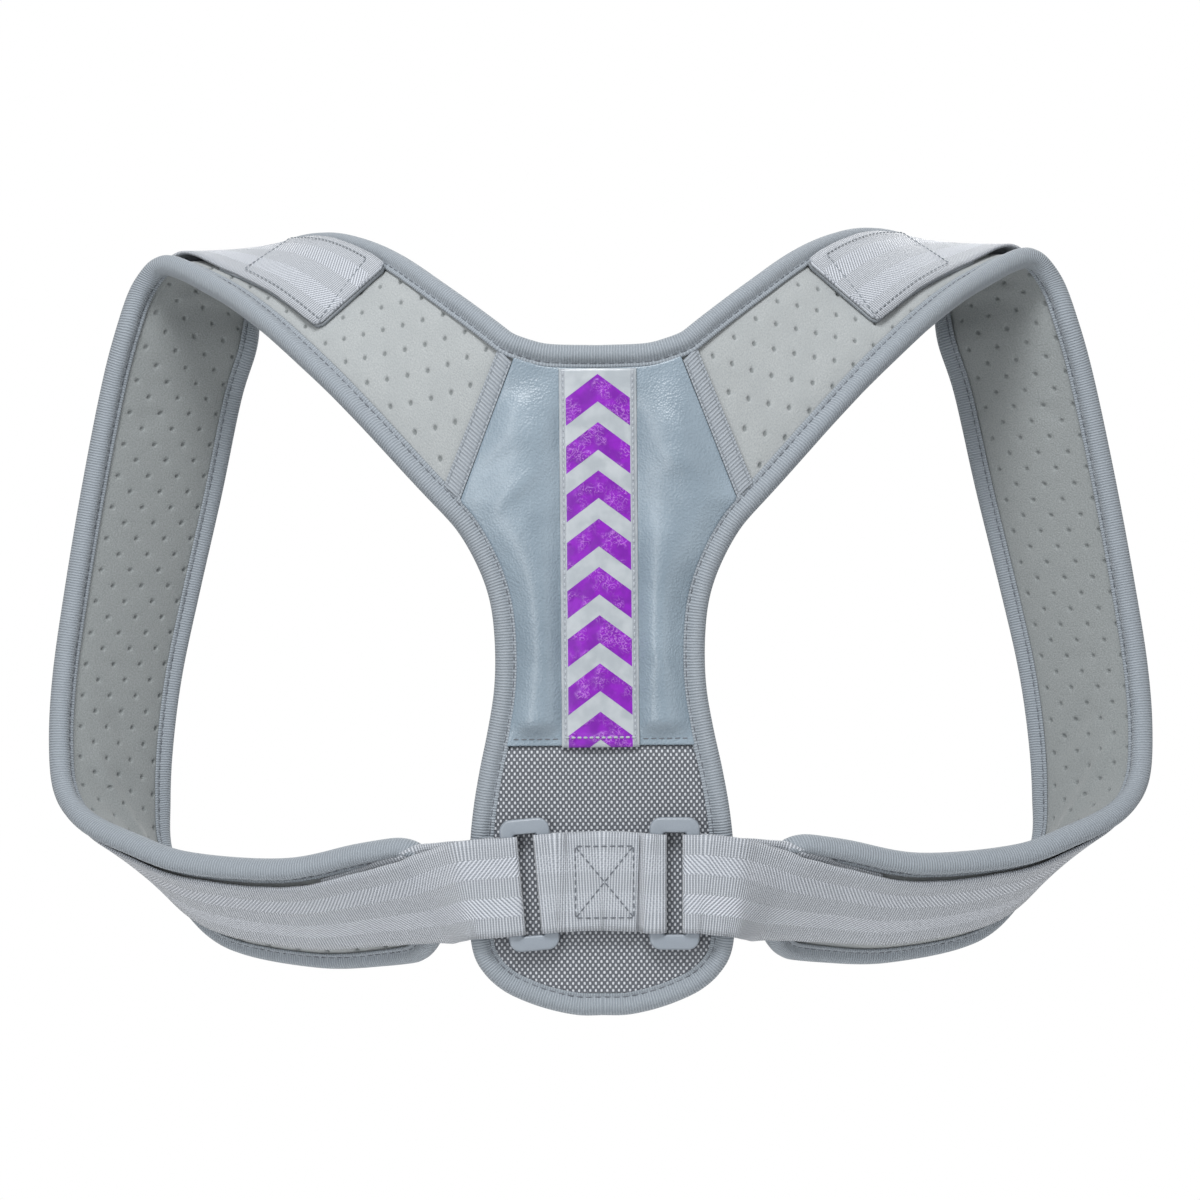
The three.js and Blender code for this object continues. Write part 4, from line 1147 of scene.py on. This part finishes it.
# %% Mesh panel
def make_mesh_panel():
    rows, columns = 60, 40
    line = inset_line(LIP_REACH)
    low, top = line[0, 1] + 0.02, LEATHER_BOTTOM + 1.0
    share = np.linspace(-1, 1, columns + 1)[None]
    up = 1 - np.cos(np.linspace(0, math.pi / 2, rows + 1))
    high = (low + up * (top - low))[:, None]
    across = half_at(high[:, 0], LIP_REACH)[:, None] * share
    flat = np.stack(np.broadcast_arrays(across, 0 * across, high), -1)
    depth = PANEL_FRONT - 0.9 - 0.35 * (1 - share**2) - 0.25 * ripples(flat, 14, 6)
    depth = depth + 1.2 * smoothstep(high, LEATHER_BOTTOM - 4, LEATHER_BOTTOM)
    piece = flat_piece("mesh_cloth", across, high, depth, 0.8)
    return dress(piece, woven_mesh, "mesh", "mesh_panel")


make_mesh_panel()

# %% Seam tapes
TAPE_LIFT = -PANEL_FRONT + 0.85
TAPE_SEWN = 2.9
first_pitch = float(np.linalg.norm(band_middle(1) - band_middle(0)))


def tape_points(run, off):
    """Points on the seam tape: run along the seam and off across it, in mm, both broadcast."""
    run, off = np.broadcast_arrays(np.asarray(run, float), np.asarray(off, float))
    inwards = on_band(0.0, run, 0) + band_axes(0.0)[0] * off[..., None]
    beyond = on_band(np.maximum(off, 0) / first_pitch, run, 0)
    return np.where((off > 0)[..., None], beyond, inwards)


def make_tape(side, face=-1):
    """face is -1 for the tape that is seen from behind, and 1 for the plain one on the lining."""
    reach = float(pad_half(0)) - LIP_REACH
    run = np.linspace(-reach, reach, 70)[:, None]
    off = np.linspace(-SEAM_TAPE_WIDTH / 2, SEAM_TAPE_WIDTH / 2, 25)[None]
    pressed = 0.3 * np.exp(-(((np.abs(off) - TAPE_SEWN) / 0.5) ** 2))
    lift = TAPE_LIFT - pressed + 0.08 * np.cos(run * 2.1)
    points = tape_points(run, off) + np.array([0, face, 0]) * lift[..., None]
    name = ("tape_" if face < 0 else "lining_tape_") + side
    piece = laid_grid(name, hand(points, side), run, turned(off, side))
    thicken(piece, 0.9)
    nodes = ["seam_tape_" + side] if face < 0 else []
    return dress(piece, tape_ribbon, "binding", *nodes)


for side in SIDES:
    make_tape(side)
    make_tape(side, 1)

# %% [markdown]
# ## Rings
# Each ring is moulded: a flat bar bent round a slot, with rounded corners and soft edges. A cube
# is stretched to its size, its faces are inset to the slot and bridged through, and two bevels
# round first the corners and then all the edges.

# %% Ring values
RING_WIDTH, RING_HEIGHT, RING_THICK = 19.4, 51, 3.2
RING_SLOT = (9.2, 39.4)
RING_CORNER, RING_SOFT_EDGE = 4.5, 0.95
RING_REACH, RING_DROP = 28, 0.645 * BULB_DROP
RING_LEAN = {"left": math.radians(4.8), "right": math.radians(0.6)}
WEB_WIDTH, WEB_THICK = 38, 1.3
BACK_LAYER = PANEL_FRONT - GAP - 1.2 - GAP - WEB_THICK / 2
RING_MIDDLE = BACK_LAYER - WEB_THICK / 2 - GAP - RING_THICK / 2
RING_BAR = (RING_WIDTH - RING_SLOT[0]) / 2
BAR_REACH = RING_SLOT[0] / 2 + RING_BAR / 2


def on_ring(side, along, y, across):
    """A point about the left ring's middle, leaned as the named side's ring is."""
    c, s = math.cos(RING_LEAN[side]), math.sin(RING_LEAN[side])
    return np.array([-RING_REACH - along * c - across * s, y, -RING_DROP - along * s + across * c])


# %% Rings
def make_ring(side):
    bpy.ops.mesh.primitive_cube_add(size=1)
    piece = bpy.context.object
    piece.name = "slotted_ring_" + side
    piece.scale = (RING_WIDTH * MM, RING_THICK * MM, RING_HEIGHT * MM)
    bpy.ops.object.transform_apply(location=False, rotation=False, scale=True)
    edit_faces(piece, [abs(face.normal.y) > 0.5 for face in piece.data.polygons])
    bpy.ops.mesh.inset(thickness=RING_BAR * MM)
    bpy.ops.mesh.bridge_edge_loops()
    bpy.ops.mesh.select_mode(type="EDGE")
    bpy.ops.mesh.select_all(action="DESELECT")
    bpy.ops.object.mode_set(mode="OBJECT")
    co = points_of(piece) / MM
    inner = np.abs(co[:, 0]) < RING_WIDTH / 2 - 0.1
    co[inner, 2] = np.sign(co[inner, 2]) * RING_SLOT[1] / 2
    piece.data.vertices.foreach_set("co", (co * MM).ravel())
    weights = piece.data.attributes.new("bevel_weight_edge", "FLOAT", "EDGE")
    for edge in piece.data.edges:
        a, b = edge.vertices
        through = abs(co[a, 1] - co[b, 1]) > 1
        weights.data[edge.index].value = 0.0 if not through else 0.3 if inner[a] else 1.0
    apply(piece, "BEVEL", width=RING_CORNER * MM, segments=6, limit_method="WEIGHT")
    soft = {"width": RING_SOFT_EDGE * MM, "segments": 3, "angle_limit": math.radians(50)}
    apply(piece, "BEVEL", limit_method="ANGLE", **soft)
    mirror = -1 if side == "right" else 1
    piece.rotation_euler = (0, -RING_LEAN[side] * mirror, 0)
    piece.location = (-RING_REACH * MM * mirror, (RING_MIDDLE - PANEL_SHIFT) * MM, -RING_DROP * MM)
    bpy.ops.object.transform_apply(location=True, rotation=True, scale=True)
    apply(piece, "WEIGHTED_NORMAL", keep_sharp=True)
    return dress(piece, acetal, "ring", "ring_" + side)


for side in SIDES:
    make_ring(side)

# %% [markdown]
# ## Webbing
# Each strap is one length of webbing. It is sewn to the end of the pad, runs round the ring's
# outer bar, and comes back over the pad to the shoulder, where its end holds on hook tape. The
# short middle piece runs round both inner bars and is sewn together with a box and a cross. Each
# is a grid laid along its path, with the bends rounded, because webbing bends but never stretches.

# %% Paths
# Row of the band, share of its width, and lift off the pad in mm. The strap is pulled straight,
# so it stands off the band's hollows, most at the shoulder and near the ring.
STRAP_ROWS = np.array([
    (2, 0.06, 2.8), (3, 0.06, 2.6), (4, 0.045, 2.6), (4.7, 0.03, 3.4), (5.3, 0.02, 4.4), (5.8, 0, 3.8),
    (6.4, 0, 2.6), (7.2, 0, 1.2), (8, 0, 0.5), (9.5, 0, 0.5), (11, 0, 0.6), (12.2, -0.01, 0.8),
    (13.2, -0.03, 1.1), (14.2, -0.055, 1.4), (15, -0.07, 1.5), (16, -0.075, 1.6), (17, -0.06, 2.2),
    (18, -0.055, 3.4), (18.5, -0.055, 4.4), (19, -0.055, 5.6),
])
UNDER_ROWS = np.array([(17.6, -0.05, 0.5), (18.3, -0.06, 0.9), (18.7, -0.09, 1.4), (19, -0.1, 1.6)])
FOLD_LIFT = RING_THICK / 2 + GAP + WEB_THICK / 2
FOLD_REACH = RING_BAR / 2 + GAP + WEB_THICK / 2
FOLD_CORNER = 1.2
WEB_LAYER = WEB_THICK + GAP


def on_pad(rows, row, thick):
    """Middle points of webbing on the left pad's outer face, and the way across it."""
    place = np.interp(row, rows[:, 0], np.arange(len(rows)))
    across, lift = smooth(rows[:, 1], place) * BAND_WIDTH, smooth(rows[:, 2], place)
    return on_band(row, across, -(PAD_THICK / 2 + lift + thick / 2)), band_axes(row)[1]


def round_bar(side, way):
    """Half a turn round a bar of a ring, from behind it to its front."""
    bow = (1 - math.sqrt(0.5)) * FOLD_CORNER
    quarter = [(0, FOLD_LIFT), (FOLD_REACH - FOLD_CORNER, FOLD_LIFT), (FOLD_REACH - bow, FOLD_LIFT - bow),
               (FOLD_REACH, FOLD_LIFT - FOLD_CORNER)]
    turn = quarter + [(x, -y) for x, y in reversed(quarter)]
    across = on_ring(side, 0, 0, -1) - on_ring(side, 0, 0, 0)
    return [(on_ring(side, way * (BAR_REACH - x), RING_MIDDLE + y, 0), across) for x, y in turn]


# %% Ribbon
FINE_STEP = 0.4


def stations_every(stations, step):
    """Points and ways across, read every step mm along the path through the stations."""
    points, across = (np.array(column) for column in zip(*stations))
    place = lengths_along(points)
    fine = np.linspace(0, place[-1], round(place[-1] / step))
    return fine, at_lengths(fine, place, points), at_lengths(fine, place, across)


def eased(stations, reach):
    """Fine stations, with their corners rounded over a reach in mm to each side."""
    _, line, ways = stations_every(stations, FINE_STEP)
    reach = round(reach / FINE_STEP)
    return list(zip(softened(line, reach), softened(ways, reach)))


def ribbon(name, stations, width, thick, step, flip=False, wavy=0.0, corner=0.1):
    """A flat strap laid through stations, with wavy edges and corners rounded at its far end."""
    fine, line, ways = stations_every(stations, FINE_STEP)
    even = np.linspace(0, fine[-1], max(round(fine[-1] / step), 8) + 1)
    line, ways = at_lengths(even, fine, softened(line, 4)), at_lengths(even, fine, softened(ways, 16))
    run = unit(np.gradient(line, axis=0))
    ways = unit(ways - run * np.einsum("ij,ij->i", ways, run)[:, None])
    share = np.linspace(-0.5, 0.5, 15)
    wave = wavy * (np.sin(even / 5.1) + 0.6 * np.sin(even / 2.3 + 1))
    edge = 1 + wave[:, None] * (np.abs(share) > 0.45)
    to_end = np.clip(corner - (fine[-1] - even), 0, corner)
    edge = edge - ((corner - np.sqrt(corner**2 - to_end**2)) * 2 / width)[:, None]
    laid = line[:, None] + ways[:, None] * (share[None] * edge)[..., None] * width
    sides = share * width
    if flip:
        laid, sides = (laid * MIRROR)[:, ::-1], sides[::-1]
    piece = laid_grid(name, laid, even[:, None], sides[None])
    thicken(piece, thick)
    return piece, fine[-1]


# %% Straps
CLEAR = 1.0
WAVY, END_CORNER = 0.006, 2.8


def make_strap(side):
    fold = round_bar(side, 1)
    across = fold[0][1]
    beside = [(on_ring(side, RING_WIDTH / 2 + CLEAR, fold[end][0][1], 0), across) for end in (0, -1)]
    off_panel = [
        (np.array([-(BULB_HALF + BINDING_NOSE + CLEAR), y, -RING_DROP - drop]), across)
        for y, drop in ((BACK_LAYER, 2), (BACK_LAYER - 2 * WEB_LAYER, 1.8))
    ]
    under = list(zip(*on_pad(UNDER_ROWS, np.arange(17.6, 19.01, 0.2), WEB_THICK)))
    over = list(zip(*on_pad(STRAP_ROWS, np.arange(2, 19.01, 0.1), WEB_THICK)))[::-1]
    before, after = under + [off_panel[0], beside[0]], [beside[1], off_panel[1]] + over
    stations = eased(before, 3) + fold + eased(after, 7)
    name, flip = "strap_" + side, side == "right"
    piece, length = ribbon(name, stations, WEB_WIDTH, WEB_THICK, 1.2, flip, WAVY, END_CORNER)
    print("strap", side, round(length), "mm")
    return dress(piece, webbing_cloth, "webbing", "strap_webbing_" + side)


HOOK_ROWS, HOOK_LIFT, HOOK_THICK = (2, 4.01), 0.75, 1.6


def make_hook_tab(side):
    flat = STRAP_ROWS.copy()
    flat[:, 2] = HOOK_LIFT
    stations = list(zip(*on_pad(flat, np.arange(*HOOK_ROWS, 0.1), HOOK_THICK)))[::-1]
    name, flip = "hook_patch_" + side, side == "right"
    piece, _ = ribbon(name, stations, WEB_WIDTH - 0.4, HOOK_THICK, 1.0, flip, 0.0, END_CORNER)
    return dress(piece, hook_tape, "hook", "hook_tab_" + side)


for side in SIDES:
    make_strap(side)
    make_hook_tab(side)

# %% Middle webbing
OVERLAP_END = 13.8
MIDDLE_ARCH = 1.3


def at_middle(x, y):
    """A station of the middle webbing, which arches up a little between the rings."""
    return np.array([x, y, -RING_DROP + MIDDLE_ARCH * (1 - (x / 20) ** 2)]), np.array([0, 0, -1.0])


def make_middle_webbing():
    left = round_bar("left", -1)
    right = [(point * MIRROR, across * MIRROR) for point, across in round_bar("right", -1)]
    top, front = BACK_LAYER - 2 * WEB_LAYER, left[-1][0][1]
    beside_left, beside_right = -(RING_WIDTH / 2 + CLEAR), RING_REACH - RING_WIDTH / 2 - CLEAR
    stations = [at_middle(x, top) for x in (OVERLAP_END, 0, -OVERLAP_END)]
    stations += [(on_ring("left", beside_left, front, 0), left[0][1])] + left[::-1]
    stations += [(on_ring("left", beside_left, BACK_LAYER, 0), left[0][1])]
    stations += [at_middle(0, BACK_LAYER), at_middle(beside_right, BACK_LAYER)] + right
    stations += [at_middle(beside_right, front), at_middle(OVERLAP_END + CLEAR, BACK_LAYER - WEB_LAYER)]
    stations += [at_middle(-10, BACK_LAYER - WEB_LAYER)]
    piece, length = ribbon("middle_webbing", stations, WEB_WIDTH, WEB_THICK, 0.8, False, WAVY)
    print("middle webbing:", round(length), "mm")
    return dress(piece, middle_cloth, "webbing", "centre_webbing")


make_middle_webbing()

# %% [markdown]
# ## Stitches
# All seams are lock stitched with bonded thread. One stitch is a small sphere drawn out into a
# capsule. It is copied along each seam at the seam's pitch, half sunk into the cloth, and all
# stitches of a seam become one mesh.


# %% Helpers for stitches
def one_stitch():
    """Points and faces of a stitch of length 2 and half thickness 1, along X, on Z."""
    bpy.ops.mesh.primitive_uv_sphere_add(segments=6, ring_count=5, radius=1, rotation=(0, math.pi / 2, 0))
    start = bpy.context.object
    bpy.ops.object.transform_apply(location=False, rotation=True, scale=False)
    points = points_of(start)
    points[:, 0] = np.sign(points[:, 0]) * np.abs(points[:, 0]) ** 0.6
    faces = [tuple(f.vertices) for f in start.data.polygons]
    mesh = start.data
    bpy.data.objects.remove(start)
    bpy.data.meshes.remove(mesh)
    return points, faces


STITCH_POINTS, STITCH_FACES = one_stitch()


# %% Sewing
def sew(name, seams, finish, pitch, share=0.72, thick=0.5, lift=0.05):
    """One mesh of stitches along seams, each given as points in mm and the way out of the cloth."""
    points, faces = [], []
    for line, out in seams:
        line = np.asarray(line, float)
        out = np.broadcast_to(np.asarray(out, float), line.shape)
        length = lengths_along(line)
        count = max(round(length[-1] / pitch), 1)
        at = (np.arange(count) + 0.5) * length[-1] / count
        middle = at_lengths(at, length, line)
        up, run = (unit(at_lengths(at, length, way)) for way in (out, np.gradient(line, axis=0)))
        up = unit(up - run * np.einsum("ij,ij->i", up, run)[:, None])
        half = length[-1] / count * share / 2
        for m, u, r, w in zip(middle + up * lift, up, run, np.cross(up, run)):
            base = len(points) * len(STITCH_POINTS)
            points.append(m + STITCH_POINTS @ np.array([r * half, w * thick / 2, u * thick / 2]))
            faces += [tuple(i + base for i in face) for face in STITCH_FACES]
    mesh = bpy.data.meshes.new(name)
    place = (np.concatenate(points) - [0, PANEL_SHIFT, 0]) * MM
    mesh.from_pydata(place.tolist(), [], faces)
    piece = bpy.data.objects.new(name, mesh)
    bpy.context.scene.collection.objects.link(piece)
    print(name, len(points), "stitches")
    return dress(piece, finish, "binding")


def for_side(seams, side):
    """The seams as they are, or mirrored for the right side."""
    if side == "left":
        return seams
    return [(np.asarray(line) * MIRROR, np.asarray(out) * MIRROR) for line, out in seams]


# %% Binding and tape stitches
GROOVE, GROOVE_LIFT = -5.5, 2.65
edge_points, edge_out, edge_through, _ = edge_frame(1.0)
seam_reach = float(pad_half(0)) - LIP_REACH - 1
run = np.linspace(-seam_reach, seam_reach, 40)
binding_seams, tape_seams = [], []
for face in (-1, 1):
    groove = edge_points + edge_out * GROOVE + edge_through * face * GROOVE_LIFT
    binding_seams.append((groove, edge_through * face))
    for off in (-TAPE_SEWN, TAPE_SEWN):
        out = np.array([0, face, 0])
        tape_seams.append((tape_points(run, off) + out * (TAPE_LIFT + 0.2), out))
for side in SIDES:
    sew("binding_stitches_" + side, for_side(binding_seams, side), dark_thread, STITCH_PITCH, thick=0.6)
    sew("tape_stitches_" + side, for_side(tape_seams, side), grey_thread, 3.0)

# %% Stitches of the shoulder ends
TAB_ROWS, TAB_SEWN = (2.15, 3.7), 16.8


def on_strap(row, off):
    """Points on the outer face of the left strap, and the way out of it."""
    middle, strap_lift = (np.interp(row, STRAP_ROWS[:, 0], STRAP_ROWS[:, i]) for i in (1, 2))
    lift = -(PAD_THICK / 2 + strap_lift + WEB_THICK - 0.1)
    return on_band(row, middle * BAND_WIDTH + off, lift), -band_axes(row)[2]


seams = [on_strap(np.linspace(*TAB_ROWS, 40), off) for off in (-TAB_SEWN, TAB_SEWN)]
seams += [on_strap(np.full(30, row), np.linspace(-TAB_SEWN, TAB_SEWN, 30)) for row in TAB_ROWS]
for side in SIDES:
    sew("tab_stitches_" + side, for_side(seams, side), grey_thread, 2.8)

# %% Stitches of strip and hem
STRIP_HEM, LEATHER_HEM = LEATHER_BOTTOM + 3.2, LEATHER_BOTTOM + 2.6
back = np.array([0, -1.0, 0])
high = np.linspace(LEATHER_BOTTOM + 1, NECK_HEIGHT - LIP_REACH - 1, 60)
hem_x = np.linspace(-STRIP_HALF + 1, STRIP_HALF - 1, 20)
strip_lines = [(x + 0 * high, high) for x in (-STRIP_SEWN, STRIP_SEWN)] + [(hem_x, 0 * hem_x + STRIP_HEM)]
seams = [(np.stack([x, strip_depth(x, z) - STRIP_THICK / 2, z], -1), back) for x, z in strip_lines]
sew("strip_stitches", seams, pale_thread, 2.4, thick=0.9)

hem_x = np.linspace(STRIP_HALF + 1, float(half_at(LEATHER_HEM, LIP_REACH)) - 1, 30)
hem_lines = [(way * hem_x, np.full(30, LEATHER_HEM)) for way in (-1, 1)]
seams = [(np.stack([x, leather_depth(x, z) - LEATHER_THICK / 2, z], -1), back) for x, z in hem_lines]
sew("hem_stitches", seams, dark_thread, 3.0)

# %% Box with a cross
BOX_HALF_WIDTH, BOX_HALF_HEIGHT = 11.2, 13.8
BOX_MIDDLE = (1.0, -RING_DROP + 0.9)
box_y = BACK_LAYER - 2 * WEB_LAYER - WEB_THICK / 2
corners = [(x * BOX_HALF_WIDTH, z * BOX_HALF_HEIGHT) for x, z in ((-1, -1), (1, -1), (1, 1), (-1, 1))]
seams = []
for a, b in ((0, 1), (1, 2), (2, 3), (3, 0), (0, 2), (1, 3)):
    x, z = np.linspace(corners[a], corners[b], 20).T
    seams.append((np.stack([x + BOX_MIDDLE[0], np.full(20, box_y), z + BOX_MIDDLE[1]], -1), back))
sew("box_stitches", seams, dark_thread, 3.0, thick=0.65)

# %% [markdown]
# ## Floor
# A pale floor lies well below, as the harness stands free.

# %% Floor
FLOOR_RADIUS, FLOOR_BACK, FLOOR_HEIGHT = 0.6, 0.03, -0.36
bpy.ops.mesh.primitive_circle_add(
    vertices=96, radius=FLOOR_RADIUS, fill_type="NGON", location=(0, FLOOR_BACK, FLOOR_HEIGHT)
)
floor = bpy.context.object
floor.name = "studio_floor"
paper, _, shader = new_finish("white paper", 0.9)
shader.inputs["Base Color"].default_value = (0.85, 0.85, 0.85, 1)
floor.data.materials.append(paper)
